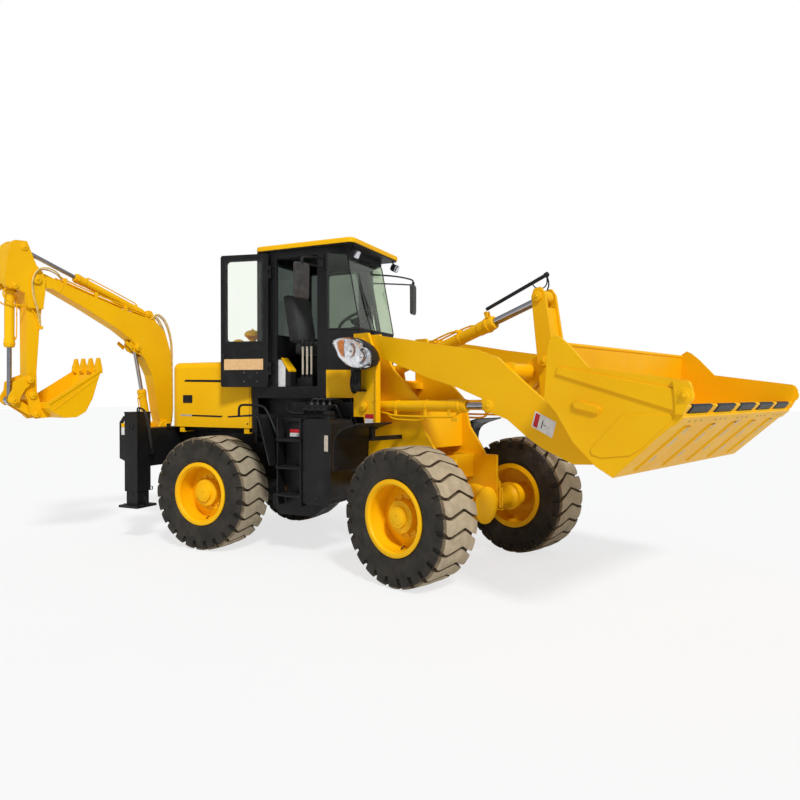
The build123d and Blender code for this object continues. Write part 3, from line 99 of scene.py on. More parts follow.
class Surface:
    """A Principled material and what feeds its shader, on the object's own coordinates."""

    def __init__(self, name):
        self.material = bpy.data.materials.new(name)
        self.material.use_nodes = True
        tree = self.material.node_tree
        self.nodes, self.links = tree.nodes, tree.links
        self.shader = tree.nodes["Principled BSDF"]

    def node(self, kind, feeds=(), **settings):
        """A node with its attributes set and its inputs fed by sockets or set to values."""
        made = self.nodes.new("ShaderNode" + kind)
        for key, value in settings.items():
            setattr(made, key, value)
        self.feed(made, feeds)
        return made

    def feed(self, node, feeds):
        for key, value in dict(feeds).items():
            if hasattr(value, "is_linked"):
                self.links.new(value, node.inputs[key])
            else:
                node.inputs[key].default_value = value

    def shade(self, **feeds):
        """Sets the shader's inputs; an underscore stands for a space."""
        self.feed(self.shader, {key.replace("_", " "): value for key, value in feeds.items()})

    def noise(self, scale, detail=4.0, stretch=None):
        place = self.node("TexCoord").outputs["Object"]
        if stretch:
            place = self.node("Mapping", {"Scale": stretch, "Vector": place}).outputs["Vector"]
        return self.node("TexNoise", {"Scale": scale, "Detail": detail, "Vector": place}).outputs["Fac"]

    def ramp(self, value, *stops):
        """A colour ramp on a value, of (place, grey or colour) stops."""
        made = self.node("ValToRGB", {"Fac": value})
        while len(made.color_ramp.elements) < len(stops):
            made.color_ramp.elements.new(0.5)
        for element, (place, colour) in zip(made.color_ramp.elements, stops):
            element.position = place
            element.color = (*(colour if isinstance(colour, tuple) else grey(colour)), 1)
        return made.outputs["Color"]

    def mix(self, factor, first, second):
        """Two colours mixed by a factor. Each may be a socket or a colour."""
        made = self.node("Mix", data_type="RGBA")
        sockets = {socket.identifier: socket for socket in made.inputs}
        for key, value in (("Factor_Float", factor), ("A_Color", first), ("B_Color", second)):
            if hasattr(value, "is_linked"):
                self.links.new(value, sockets[key])
            else:
                sockets[key].default_value = (*value, 1)
        return next(socket for socket in made.outputs if socket.identifier == "Result_Color")

    def times(self, first, second):
        return self.node("Math", {0: first, 1: second}, operation="MULTIPLY").outputs[0]

    def bump(self, height, strength, normal=None):
        """Relief one millimetre deep."""
        feeds = {"Strength": strength, "Distance": 0.001, "Height": height}
        if normal:
            feeds["Normal"] = normal
        self.shade(Normal=self.node("Bump", feeds).outputs["Normal"])


def painted(name, colour, deep, dust, rough, edge, bump, gloss=0.3, dust_share=0.5, edge_share=0.5):
    """Paint on steel: two tones, dust in patches, rubbed edges and a slight orange peel."""
    made = Surface(name)
    tone = made.ramp(made.noise(2.2, 5), (0.35, deep), (0.65, colour))
    patches = made.ramp(made.noise(5.5, 8), (0.52, 0), (0.78, dust_share))
    tone = made.mix(patches, tone, dust)
    soft = made.node("Bevel", {"Radius": 0.004}, samples=4).outputs["Normal"]
    sharp = made.node("NewGeometry").outputs["Normal"]
    turned = made.node("VectorMath", {0: soft, 1: sharp}, operation="DOT_PRODUCT").outputs["Value"]
    mask = made.ramp(turned, (0.86, 1), (0.97, 0))
    broken = made.ramp(made.noise(42, 6), (0.44, 0), (0.62, edge_share))
    tone = made.mix(made.times(mask, broken), tone, edge)
    roughness = made.ramp(made.noise(9, 5), (0.3, rough - 0.07), (0.75, rough + 0.14))
    made.shade(Base_Color=tone, Roughness=roughness, Specular_IOR_Level=gloss)
    made.bump(made.noise(130, 2), bump, soft)
    return made.material


def plain(
    name, colour, deep, rough, metal=0.0, scale=14.0, bump=0.15, fine=180.0, coat=0.0, gloss=0.4, stretch=None,
):
    """A two-tone material with fine bump, for rubber, plastic, metal and labels."""
    made = Surface(name)
    tone = made.ramp(made.noise(scale, 6, stretch), (0.35, deep), (0.68, colour))
    smudges = made.noise(scale * 2.3, 4)
    roughness = made.ramp(smudges, (0.3, max(rough - 0.08, 0.02)), (0.75, min(rough + 0.1, 1)))
    made.shade(Base_Color=tone, Roughness=roughness, Specular_IOR_Level=gloss, Metallic=metal, Coat_Weight=coat)
    made.bump(made.noise(fine, 3), bump)
    return made.material


def clear_glass(name, colour, paler):
    """Tinted safety glass with faint dust."""
    made = Surface(name)
    tint = made.ramp(made.noise(3, 4), (0.3, colour), (0.8, paler))
    film = made.ramp(made.noise(7, 6), (0.45, 0.02), (0.85, 0.10))
    made.shade(Base_Color=tint, Roughness=film, Transmission_Weight=1.0, IOR=1.45)
    return made.material


def woven(name, colour, deep):
    """Coarse woven cloth for the operator's cushions."""
    made = Surface(name)
    place = made.node("TexCoord").outputs["Object"]
    heights = []
    for turn in (0.785, -0.785):
        turned = made.node("Mapping", {"Rotation": (turn, turn, turn), "Vector": place}).outputs["Vector"]
        heights.append(made.node("TexWave", {"Scale": 160, "Vector": turned}).outputs["Fac"])
    made.bump(made.times(*heights), 0.5)
    tone = made.ramp(made.noise(20, 6), (0.3, deep), (0.7, colour))
    made.shade(Base_Color=tone, Roughness=0.85, Sheen_Weight=0.3)
    return made.material


YELLOW = painted(
    "paint_yellow", (0.95, 0.52, 0.003), (0.90, 0.465, 0.002), (0.80, 0.50, 0.06), 0.40, (0.55, 0.28, 0.02), 0.06,
    gloss=0.15, dust_share=0.06, edge_share=0.45,
)
BLACK = painted(
    "paint_black", (0.0085, 0.0085, 0.0095), (0.0045, 0.0045, 0.005), (0.032, 0.029, 0.026), 0.42,
    (0.085, 0.082, 0.078), 0.12, gloss=0.30, dust_share=0.4, edge_share=0.75,
)
SIDEWALL = plain(
    "rubber_sidewall", (0.042, 0.036, 0.028), (0.020, 0.018, 0.015), 0.66, scale=9, bump=0.3, gloss=0.25,
)
TREAD = plain(
    "rubber_dusty_tread", (0.46, 0.385, 0.27), (0.36, 0.30, 0.205), 0.92, scale=16, bump=0.5, fine=90, gloss=0.2,
)
# The groove faces' darker brown, against the dusty tan lug tops, stands partly for painted shade in the grooves.
GROOVE_PAINTED_SHADE = plain("rubber_groove_painted_shade", (0.20, 0.155, 0.10), (0.12, 0.09, 0.056), 0.9, scale=16, bump=0.4, gloss=0.2)
SCREEN = clear_glass("screen_glazing", (0.66, 0.74, 0.60), (0.72, 0.79, 0.66))
# The far door's and the rear panes' dark tints are painted shade, standing for the dark cab seen through them.
FAR_GLASS_PAINTED_SHADE = clear_glass("far_door_glazing_painted_shade", (0.16, 0.19, 0.17), (0.21, 0.24, 0.22))
REAR_GLASS_PAINTED_SHADE = clear_glass("rear_glazing_painted_shade", (0.055, 0.070, 0.060), (0.085, 0.10, 0.09))
# The open door's paler tint is painted light.
OPEN_GLASS_PAINTED_LIGHT = clear_glass("open_door_glazing_painted_light", (0.92, 0.97, 0.87), (0.95, 0.98, 0.92))
LENS = clear_glass("lamp_lens", (0.97, 0.97, 0.97), (0.92, 0.93, 0.95))
CHROME = plain(
    "chromed_rod", (0.52, 0.52, 0.54), (0.40, 0.40, 0.43), 0.14, metal=1.0, scale=30, bump=0.03, stretch=(1, 1, 6),
)
REFLECTOR = plain(
    "lamp_reflector", (0.90, 0.90, 0.91), (0.60, 0.62, 0.66), 0.12, metal=1.0, scale=40, bump=0.2, fine=60,
)
STEEL = plain("worn_steel", (0.22, 0.21, 0.20), (0.11, 0.10, 0.09), 0.42, metal=0.8, scale=22, bump=0.35, fine=70)
DARK_STEEL = plain(
    "tooth_steel", (0.030, 0.040, 0.046), (0.012, 0.016, 0.019), 0.5, metal=0.3, scale=26, bump=0.35, fine=70,
)
PLASTIC = plain(
    "moulded_plastic", (0.013, 0.013, 0.014), (0.007, 0.007, 0.008), 0.5, scale=18, bump=0.35, fine=260,
    gloss=0.35,
)
MIRROR_SHELL = plain(
    "mirror_shell", (0.055, 0.05, 0.046), (0.03, 0.028, 0.026), 0.45, scale=18, bump=0.25, fine=260,
)
HOSE = plain(
    "hose_rubber", (0.016, 0.015, 0.015), (0.008, 0.008, 0.008), 0.5, scale=40, bump=0.3, fine=300, gloss=0.35,
)
# Hoses sprayed yellow; their pale cream tone is partly a painted highlight, standing for glare.
SPRAYED_WITH_GLARE = plain(
    "sprayed_hose_painted_glare", (0.84, 0.66, 0.26), (0.66, 0.42, 0.07), 0.5, scale=26, bump=0.3, fine=300, gloss=0.3,
)
CASTING = plain(
    "engine_casting", (0.030, 0.031, 0.032), (0.014, 0.014, 0.015), 0.7, metal=0.2, scale=12, bump=0.5, fine=60,
)
STRIPE = plain("stripe_film", (0.010, 0.010, 0.011), (0.006, 0.006, 0.007), 0.35, scale=25, bump=0.04, gloss=0.3)
SILVER = plain("silver_film", (0.50, 0.49, 0.46), (0.40, 0.39, 0.36), 0.4, scale=25, bump=0.04)
TAN = plain("reflective_strip", (0.78, 0.50, 0.24), (0.70, 0.43, 0.20), 0.45, scale=30, bump=0.2, fine=350)
CREAM = plain("lever_sleeve", (0.62, 0.55, 0.45), (0.50, 0.43, 0.34), 0.4, scale=30, bump=0.1)
WHITE = plain("label_white", (0.80, 0.80, 0.78), (0.66, 0.66, 0.64), 0.45, scale=30, bump=0.05)
RED = plain("label_red", (0.60, 0.012, 0.020), (0.48, 0.008, 0.014), 0.4, scale=30, bump=0.05)
AMBER = plain("lamp_amber", (0.85, 0.26, 0.01), (0.65, 0.16, 0.01), 0.2, scale=40, bump=0.2, fine=80, coat=0.6)
FABRIC = woven("seat_cloth", (0.022, 0.022, 0.025), (0.010, 0.010, 0.012))


# ------------------------------------------------------------------ shape tools
SIDES = (1, -1)
PLANES = {
    "xz": lambda a, b, h: (a, h, b),
    "xy": lambda a, b, h: (a, b, h),
    "yz": lambda a, b, h: (h, a, b),
}


def softened(points, rounds):
    """A polyline with its corners cut, ends kept."""
    for _ in range(rounds):
        cut = [points[0]]
        for first, second in zip(points, points[1:]):
            cut += [first.lerp(second, 0.25), first.lerp(second, 0.75)]
        points = cut + [points[-1]]
    return points


def rounded(a, b, radius, steps=4):
    """A rounded rectangle's outline between the (low, high) pairs a and b."""
    points = []
    for ca, cb, start in ((a[1], b[1], 0), (a[0], b[1], 90), (a[0], b[0], 180), (a[1], b[0], 270)):
        ma = ca - radius if ca == a[1] else ca + radius
        mb = cb - radius if cb == b[1] else cb + radius
        for i in range(steps + 1):
            angle = radians(start + 90 * i / steps)
            points.append((ma + radius * cos(angle), mb + radius * sin(angle)))
    return points


class Maker:
    """Collects shapes in one local frame, in millimetres, and makes one piece of them."""

    def __init__(self, place):
        self.bm = bmesh.new()
        self.place = place

    def rings(self, rings, closed=False):
        """Skins a row of vertex rings and caps its two ends."""
        made = [[self.bm.verts.new(point) for point in ring] for ring in rings]
        pairs = list(zip(made, made[1:])) + ([(made[-1], made[0])] if closed else [])
        for first, second in pairs:
            for i in range(len(first)):
                k = (i + 1) % len(first)
                self.bm.faces.new((first[i], first[k], second[k], second[i]))
        if not closed:
            self.bm.faces.new(made[0])
            self.bm.faces.new(made[-1][::-1])
        return self

    def prism(self, points, low, high, plane="xz"):
        """An outline in a plane, drawn out between two heights."""
        build = PLANES[plane]
        return self.rings([[build(a, b, h) for a, b in points] for h in (low, high)])

    def box(self, x, y, z):
        return self.prism([(x[0], z[0]), (x[1], z[0]), (x[1], z[1]), (x[0], z[1])], y[0], y[1])

    def ring_plate(self, outer, inner, low, high, plane="xz"):
        """A plate with one opening. Both outlines have the same number of points."""
        build = PLANES[plane]
        rows = ((outer, low), (outer, high), (inner, high), (inner, low))
        return self.rings([[build(a, b, h) for a, b in line] for line, h in rows], closed=True)

    def lathe(self, start, axis, profile, count=24, closed=False):
        """A turned shape: (distance along the axis, radius) pairs from a start point."""
        start, axis = Vector(start), Vector(axis).normalized()
        side = axis.orthogonal().normalized()
        up = axis.cross(side)
        angles = [2 * pi * i / count for i in range(count)]
        circles = [
            [start + axis * d + (side * cos(a) + up * sin(a)) * max(r, 0.05) for a in angles] for d, r in profile
        ]
        return self.rings(circles, closed)

    def pipe(self, points, radius, count=8, rounds=3):
        """A round pipe or hose along softened points."""
        line = softened([Vector(p) for p in points], rounds)
        side = (line[1] - line[0]).orthogonal().normalized()
        rings = []
        for i, point in enumerate(line):
            ahead = (line[min(i + 1, len(line) - 1)] - line[max(i - 1, 0)]).normalized()
            side = (side - ahead * side.dot(ahead)).normalized()
            up = ahead.cross(side)
            angles = [2 * pi * k / count for k in range(count)]
            rings.append([point + (side * cos(a) + up * sin(a)) * radius for a in angles])
        return self.rings(rings)

    def bolt(self, at, axis, size, height=None):
        """A washer and a hexagon head."""
        height = height or size * 0.75
        self.lathe(at, axis, [(0, size * 1.35), (size * 0.22, size * 1.35)], 12)
        return self.lathe(at, axis, [(0, size), (height * 0.9, size), (height, size * 0.82)], 6)

    def bolt_ring(self, centre, axis, radius, count, size, turn=0.0):
        axis = Vector(axis).normalized()
        side = axis.orthogonal().normalized()
        up = axis.cross(side)
        for i in range(count):
            angle = turn + 2 * pi * i / count
            self.bolt(Vector(centre) + (side * cos(angle) + up * sin(angle)) * radius, axis, size)
        return self

    def done(self, name, material, body, bevel=0.0, angle=35, more=()):
        """The finished piece, riding on its body, or on none when no body is given."""
        bmesh.ops.recalc_face_normals(self.bm, faces=self.bm.faces)
        mesh = bpy.data.meshes.new(name)
        self.bm.to_mesh(mesh)
        self.bm.free()
        mesh.transform(self.place)
        if self.place.determinant() < 0:
            mesh.flip_normals()
        piece = bpy.data.objects.new(name, mesh)
        bpy.context.scene.collection.objects.link(piece)
        for one in (material, *more):
            mesh.materials.append(one)
        mesh.shade_smooth()
        mesh.set_sharp_from_angle(angle=radians(angle))
        if bevel:
            edge = piece.modifiers.new("edge", "BEVEL")
            edge.width = bevel * 0.001
            edge.segments = 2
            edge.limit_method = "ANGLE"
            edge.angle_limit = radians(40)
        if body:
            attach(piece, body)
        return piece


def plates(name, material, place, body, rows, bevel=0.0):
    """One piece of several flat plates: (outline, low, high, plane)."""
    maker = Maker(place)
    for row in rows:
        maker.prism(*row)
    return maker.done(name, material, body, bevel)


def label_plate(maker, s, x, z, face):
    """A blank label 1.2 mm thick on a side face."""
    maker.prism(rounded(x, z, 3), s * face, s * (face + 1.2))


def sided(rows):
    """Rows of plates across the machine, repeated on its other side."""
    return [(points, sign * low, sign * high) for points, low, high in rows for sign in SIDES]


def pin_caps(name, place, body, rows, sides=SIDES):
    """A bolted cap on each end of the pins: (x, z, distance from the middle, radius)."""
    maker = Maker(place)
    for x, z, out, radius in rows:
        for sign in sides:
            profile = [
                (0, radius), (6, radius), (9, radius * 0.88), (9, radius * 0.45), (11, radius * 0.42), (11, 0),
            ]
            maker.lathe((x, sign * out, z), (0, sign, 0), profile, 28)
            maker.bolt((x, sign * (out + 9), z), (0, sign, 0), radius * 0.26)
    return maker.done(name, YELLOW, body, bevel=0.6)


# ------------------------------------------------------------------ CAD nodes
def node_material(name):
    """The material of a CAD node, by its slot in the record."""
    # The far door glass takes a painted-shade tint and the open door glass a painted-light tint.
    special = {"left_door_glass": FAR_GLASS_PAINTED_SHADE, "right_door_glass": OPEN_GLASS_PAINTED_LIGHT}
    slots = {part["node"]: part["material_slot"] for part in frame["record"]["subparts"]}
    by_slot = {
        "yellow_paint": YELLOW, "black_paint": BLACK, "tyre": SIDEWALL, "glass": SCREEN, "chrome": CHROME,
        "seat_fabric": FABRIC, "plastic": PLASTIC, "worn_steel": DARK_STEEL, "engine_casting": CASTING,
    }
    return special.get(name) or by_slot[slots[name]]


for node_name, node in NODES.items():
    node.data.materials.clear()
    node.data.materials.append(node_material(node_name))
    for polygon in node.data.polygons:
        polygon.material_index = 0
# The rear panes take the darker tint: painted shade.
rear_panes = NODES["cab_glass"]
rear_panes.data.materials.append(REAR_GLASS_PAINTED_SHADE)
to_rear = REAR.inverted()
for polygon in rear_panes.data.polygons:
    if (to_rear @ polygon.center).x < -500:
        polygon.material_index = 1

# ------------------------------------------------------------------ camera
camera_data = bpy.data.cameras.new("camera")
camera_data.sensor_width = 36
camera_data.lens = 29.45
camera = bpy.data.objects.new("camera", camera_data)
bpy.context.scene.collection.objects.link(camera)
camera.location = REAR @ Vector((2954, -5791, 1477))
camera.rotation_mode = "QUATERNION"
upright = Matrix.Rotation(radians(114.6 - 90), 4, "Z") @ Matrix.Rotation(radians(90 - 0.5), 4, "X")
camera.rotation_quaternion = upright.to_quaternion()
bpy.context.scene.camera = camera

# ------------------------------------------------------------------ light and floor
scene = bpy.context.scene
scene.view_settings.view_transform = "Standard"
world = bpy.data.worlds.new("studio")
scene.world = world
world.use_nodes = True
sky, links = world.node_tree.nodes, world.node_tree.links
fill = sky["Background"]
fill.inputs["Color"].default_value = (0.93, 0.96, 1.0, 1)
fill.inputs["Strength"].default_value = 0.42
white = sky.new("ShaderNodeBackground")
white.inputs["Color"].default_value = (1, 1, 1, 1)
white.inputs["Strength"].default_value = 1.0
path = sky.new("ShaderNodeLightPath")
either = sky.new("ShaderNodeMath")
either.operation = "MAXIMUM"
links.new(path.outputs["Is Camera Ray"], either.inputs[0])
links.new(path.outputs["Is Transmission Ray"], either.inputs[1])
choose = sky.new("ShaderNodeMixShader")
links.new(either.outputs[0], choose.inputs["Fac"])
links.new(fill.outputs[0], choose.inputs[1])
links.new(white.outputs[0], choose.inputs[2])
links.new(choose.outputs[0], sky["World Output"].inputs["Surface"])

sun_data = bpy.data.lights.new("sun", "SUN")
sun_data.energy = 2.5
sun_data.angle = radians(9)
sun = bpy.data.objects.new("sun", sun_data)
scene.collection.objects.link(sun)
sun.rotation_mode = "QUATERNION"
sun.rotation_quaternion = Vector((0.58, -0.62, 0.80)).to_track_quat("Z", "Y")

floor_mesh = bpy.data.meshes.new("floor")
floor_mesh.from_pydata([(-60, -60, 0), (60, -60, 0), (60, 60, 0), (-60, 60, 0)], [], [(0, 1, 2, 3)])
floor = bpy.data.objects.new("floor", floor_mesh)
scene.collection.objects.link(floor)
paving = Surface("pale_floor")
clouds = paving.ramp(paving.noise(0.6, 3), (0.3, (0.86, 0.86, 0.855)), (0.7, (0.89, 0.89, 0.885)))
paving.shade(Base_Color=clouds, Roughness=0.9)
glow = paving.node("Emission", {"Strength": 1.0})
seen = paving.node("LightPath").outputs["Is Camera Ray"]
share = paving.node("Math", {0: seen, 1: 0.72}, operation="MULTIPLY")
blend = paving.node("MixShader", {"Fac": share.outputs[0], 1: paving.shader.outputs[0], 2: glow.outputs[0]})
paving.feed(paving.nodes["Material Output"], {"Surface": blend.outputs[0]})
floor_mesh.materials.append(paving.material)


# ------------------------------------------------------------------ wheels
TYRE_RADIUS = 537.5
WHEEL_Y = 791
FRONT_AXLE_X, REAR_AXLE_X = 1234, -1333
LUGS = 24
SECTIONS = 96
# across the tread: (y, crest radius, root radius, share of a pitch that the lug runs ahead)
TREAD_STATIONS = [
    (-199, 450, 438, -0.46), (-199, 480, 438, -0.44), (-192, 513, 440, -0.40), (-177, 530, 450, -0.34),
    (-110, 535.5, 500, -0.10), (-40, 537.2, 502, 0.20), (-20, 537.4, 502, 0.24), (60, 537, 502, 0.06),
    (120, 535, 500, -0.08), (150, 533, 480, -0.06), (177, 530, 450, 0.06), (192, 513, 440, 0.10),
    (199, 480, 438, 0.12), (199, 450, 438, 0.12),
]


def carcass(maker):
    """The tyre's body in section from bead to bead, with its rings."""
    profile = [
        (-174, 298), (-182, 312), (-190, 326), (-192, 332), (-196, 334), (-198, 345), (-197, 352), (-198, 368),
        (-200, 400), (-199.4, 438), (-198.6, 444), (-182, 450), (-178, 478), (-168, 496), (-100, 505), (0, 507),
        (100, 505), (168, 496), (178, 478), (182, 450), (198.6, 444), (199.4, 438), (200, 400), (198, 368),
        (197, 352), (198, 345),
        (196, 334), (192, 332), (190, 326), (182, 312), (174, 298), (174, 268), (-174, 268),
    ]
    angles = [2 * pi * i / SECTIONS for i in range(SECTIONS)]
    maker.rings([[(r * cos(a), y, r * sin(a)) for y, r in profile] for a in angles], closed=True)


def lugs(maker):
    """Chevron lugs round the tread, running down both shoulders."""
    pitch = 2 * pi / LUGS
    half = 0.430 * pitch
    for index in range(LUGS):
        middle = index * pitch
        rings = []
        for y, crest, root, lead in TREAD_STATIONS:
            at = middle + lead * pitch
            spread = half * (0.80 if abs(y) > 190 else 0.88 if abs(y) > 170 else 1.0)
            ring = [(root, at - spread), (crest - 2, at - spread * 0.97), (crest, at - spread * 0.4)]
            ring += [(crest, at + spread * 0.4), (crest - 2, at + spread * 0.97), (root, at + spread)]
            rings.append([(r * cos(a), y, r * sin(a)) for r, a in ring])
        maker.rings(rings)


def dress_tyre(name, body, place):
    """One tyre with its tread, standing for the plain CAD tyre."""
    maker = Maker(place)
    carcass(maker)
    lugs(maker)
    bmesh.ops.recalc_face_normals(maker.bm, faces=maker.bm.faces)
    maker.bm.normal_update()
    for face in maker.bm.faces:
        centre = face.calc_center_median()
        radial = hypot(centre.x, centre.z)
        outward = (face.normal.x * centre.x + face.normal.z * centre.z) / radial
        if abs(centre.y) < 186 and radial > 524 and outward > 0.7:
            face.material_index = 1
        # Groove faces take a darker brown than the lug tops; the darkness is partly painted shade in the grooves.
        elif abs(centre.y) < 188 and radial > 490:
            face.material_index = 2
    tyre = maker.done(f"{name}_tread_tyre", SIDEWALL, body, bevel=2.5, angle=30, more=(TREAD, GROOVE_PAINTED_SHADE))
    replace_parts(tyre, f"{name}_tyre")


def dress_rim(name, body, place, driven):
    """Nuts, hub bolts, lock ring and valve on the CAD rim."""
    maker = Maker(place)
    maker.bolt_ring((0, 36, 0), (0, 1, 0), 149, 12, 15)
    maker.bolt_ring((0, 98, 0), (0, 1, 0), 105, 12 if driven else 6, 7, 0.2)
    maker.lathe((0, 128, 0), (0, 1, 0), [(-2, 60), (3, 60), (6, 52), (6, 0)], 32)
    maker.bolt((0, 133, 22), (0, 1, 0), 9)
    flange = [(0, 262), (0, 286), (5, 290), (9, 286), (10, 264)]
    maker.lathe((0, 180, 0), (0, 1, 0), flange, 72, closed=True)
    maker.lathe((0, 150, 0), (0, 1, 0), [(0, 250), (0, 256), (14, 257), (14, 249)], 72, closed=True)
    maker.done(f"{name}_wheel_fittings", YELLOW, body, bevel=0.8)
    valve = Maker(place)
    valve.pipe([(0, 40, -232), (0, 62, -236), (0, 74, -240)], 5, 8, 2)
    valve.lathe((0, 74, -240), (0, 0.8, -0.6), [(0, 6), (12, 6), (14, 4), (14, 0)], 10)
    valve.done(f"{name}_valve", HOSE, body)


for end, axle_x, local in (("front", FRONT_AXLE_X, FRONT), ("rear", REAR_AXLE_X, REAR)):
    for side, sign in (("left", 1), ("right", -1)):
        centre = Matrix.Translation((axle_x, sign * WHEEL_Y, TYRE_RADIUS)) @ Matrix.Scale(sign, 4, (0, 1, 0))
        wheel_body = NODES[f"{end}_{side}_tyre"]["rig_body"]
        dress_tyre(f"{end}_{side}", wheel_body, local @ centre)
        dress_rim(f"{end}_{side}", wheel_body, local @ centre, end == "front")

# ------------------------------------------------------------------ hood
HOOD_SIDE = 460
stripe_rows = [
    ([(-1990, 1609), (-1490, 1600), (-1490, 1624), (-1974, 1631)], HOOD_SIDE, HOOD_SIDE + 1.2),
    ([(-1892, 1247), (-1500, 1240), (-1478, 1258), (-1880, 1263)], HOOD_SIDE, HOOD_SIDE + 1.2),
]
plates("hood_stripes", STRIPE, REAR, "machine", sided(stripe_rows))
silver_rows = [([(-2046, 1250), (-1893, 1247), (-1881, 1263), (-2038, 1266)], HOOD_SIDE, HOOD_SIDE + 1.2)]
plates("hood_stripe_ends", SILVER, REAR, "machine", sided(silver_rows))
latch = Maker(REAR)
hood_seam = Maker(REAR)
for s in SIDES:
    pocket = rounded((-2004, -1880), (1387, 1469), 8)
    latch.prism(pocket, s * HOOD_SIDE, s * (HOOD_SIDE + 2))
    latch.ring_plate(pocket, rounded((-1996, -1888), (1395, 1461), 6), s * HOOD_SIDE, s * (HOOD_SIDE + 5))
    latch.prism(rounded((-1972, -1912), (1416, 1444), 6), s * HOOD_SIDE, s * (HOOD_SIDE + 6))
    for z in (1180, 1775):
        latch.bolt((-1170, s * HOOD_SIDE, z), (0, s, 0), 7)
    hood_seam.box((-1147, -1143), (s * (HOOD_SIDE - 0.2), s * (HOOD_SIDE + 0.6)), (1160, 1740))
latch.done("hood_latches", PLASTIC, "machine", bevel=0.8)
hood_seam.done("hood_seam", STRIPE, "machine")
mesh_rows = [([(-2176, 1226), (-2172, 1226), (-2172, 1716), (-2176, 1716)], -310, 310)]
for column in range(11):
    y = -290 + column * 58
    mesh_rows.append(([(-2179, 1232), (-2176, 1232), (-2176, 1710), (-2179, 1710)], y - 4, y + 4))
plates("grille_mesh", PLASTIC, REAR, "machine", mesh_rows)
tail = Maker(REAR)
tail_lens = Maker(REAR)
for s in SIDES:
    y_pair = sorted((s * 318, s * 372))
    tail.prism(rounded(y_pair, (1560, 1690), 10), -2190, -2202, "yz")
    inner = (y_pair[0] + 6, y_pair[1] - 6)
    tail_lens.prism(rounded(inner, (1566, 1624), 8), -2200, -2210, "yz")
tail.done("tail_lamp_shells", PLASTIC, "machine", bevel=1.5)
tail_lens.done("tail_lamp_lenses", RED, "machine", bevel=2)
tail_amber = Maker(REAR)
for s in SIDES:
    y_pair = sorted((s * 324, s * 366))
    tail_amber.prism(rounded(y_pair, (1628, 1684), 8), -2200, -2210, "yz")
tail_amber.done("tail_indicator_lenses", AMBER, "machine", bevel=2)

# pre-cleaner and air box
HOOD_TOP = 1812.3
UPWARD = (0, 0, 1)
BOWL_X, DOME_X = -1452, -1640
stack = Maker(REAR)
bowl = [
    (0, 74), (10, 74), (12, 58), (122, 56), (126, 60), (140, 60), (144, 36), (272, 34), (284, 46), (288, 80),
    (296, 87), (314, 88), (332, 80), (348, 58), (356, 30), (360, 0),
]
stack.lathe((BOWL_X, 0, HOOD_TOP), UPWARD, bowl, 40)
for i in range(20):
    angle = 2 * pi * i / 20
    near = Vector((cos(angle), sin(angle), 0))
    along = Vector((-sin(angle), cos(angle), 0)) * 1.5
    foot = Vector((BOWL_X, 0, HOOD_TOP + 252))
    ring = [foot + near * 34 - along, foot + near * 40 - along, foot + near * 40 + along, foot + near * 34 + along]
    top = [p + Vector((0, 0, 38)) + near * (38 if k in (1, 2) else 0) for k, p in enumerate(ring)]
    stack.rings([ring, top])
stack.lathe((BOWL_X, 0, HOOD_TOP + 358), UPWARD, [(0, 16), (5, 16), (7, 10), (16, 8), (18, 0)], 20)
dome = [
    (0, 104), (8, 104), (10, 92), (150, 92), (152, 95), (164, 95), (166, 92), (196, 89), (226, 76), (250, 52),
    (264, 24), (268, 0),
]
stack.lathe((DOME_X, 0, HOOD_TOP), UPWARD, dome, 40)
stack.bolt_ring((DOME_X, 0, HOOD_TOP + 8), UPWARD, 98, 8, 5)
stack.pipe([(-1560, 0, HOOD_TOP + 80), (-1530, 0, HOOD_TOP + 80), (-1500, 0, HOOD_TOP + 80)], 30, 20, 0)
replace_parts(stack.done("air_stack_bodies", YELLOW, "machine", bevel=0.8), "air_stacks")

# ------------------------------------------------------------------ fenders, ladders and tanks
rail = Maker(REAR)
treads = Maker(REAR)
for s in SIDES:
    y = s * 850
    rail.pipe(
        [(-967, y, 1271), (-966, y, 1364), (-918, y, 1382), (-707, y, 1372), (-650, y, 1338), (-517, y, 1062)], 11,
        12,
    )
    rail.lathe((-967, y, 1269.5), (0, 0, 1), [(0, 24), (6, 24), (8, 18)], 20)
    rail.box((-530, -506), (y - 12, y + 12), (1046, 1070))
    rail.pipe(
        [
            (-986, s * 984, 1272), (-850, s * 984, 1281), (-690, s * 984, 1294), (-640, s * 984, 1264),
            (-524, s * 984, 846),
        ],
        5, 8, 1,
    )
    for z in (561, 807, 1052):
        treads.pipe(
            [(-508, s * 903, z + 22), (-492, s * 906, z + 12), (-266, s * 906, z + 12), (-250, s * 903, z + 22)],
            12, 12, 2,
        )
        for i in range(5):
            y_rib = s * (806 + 18 * i)
            treads.pipe([(-490, y_rib, z + 22), (-268, y_rib, z + 22)], 3.5, 6, 0)
    for x in (-501, -257):
        treads.bolt((x, s * 900, 1180), (0, s, 0), 7)
rail.done("fender_handrails", BLACK, "machine")
treads.done("step_treads", BLACK, "machine", bevel=0.6)
tank_trim = Maker(REAR)
gauge = Maker(REAR)
label_low, label_high = Maker(REAR), Maker(REAR)
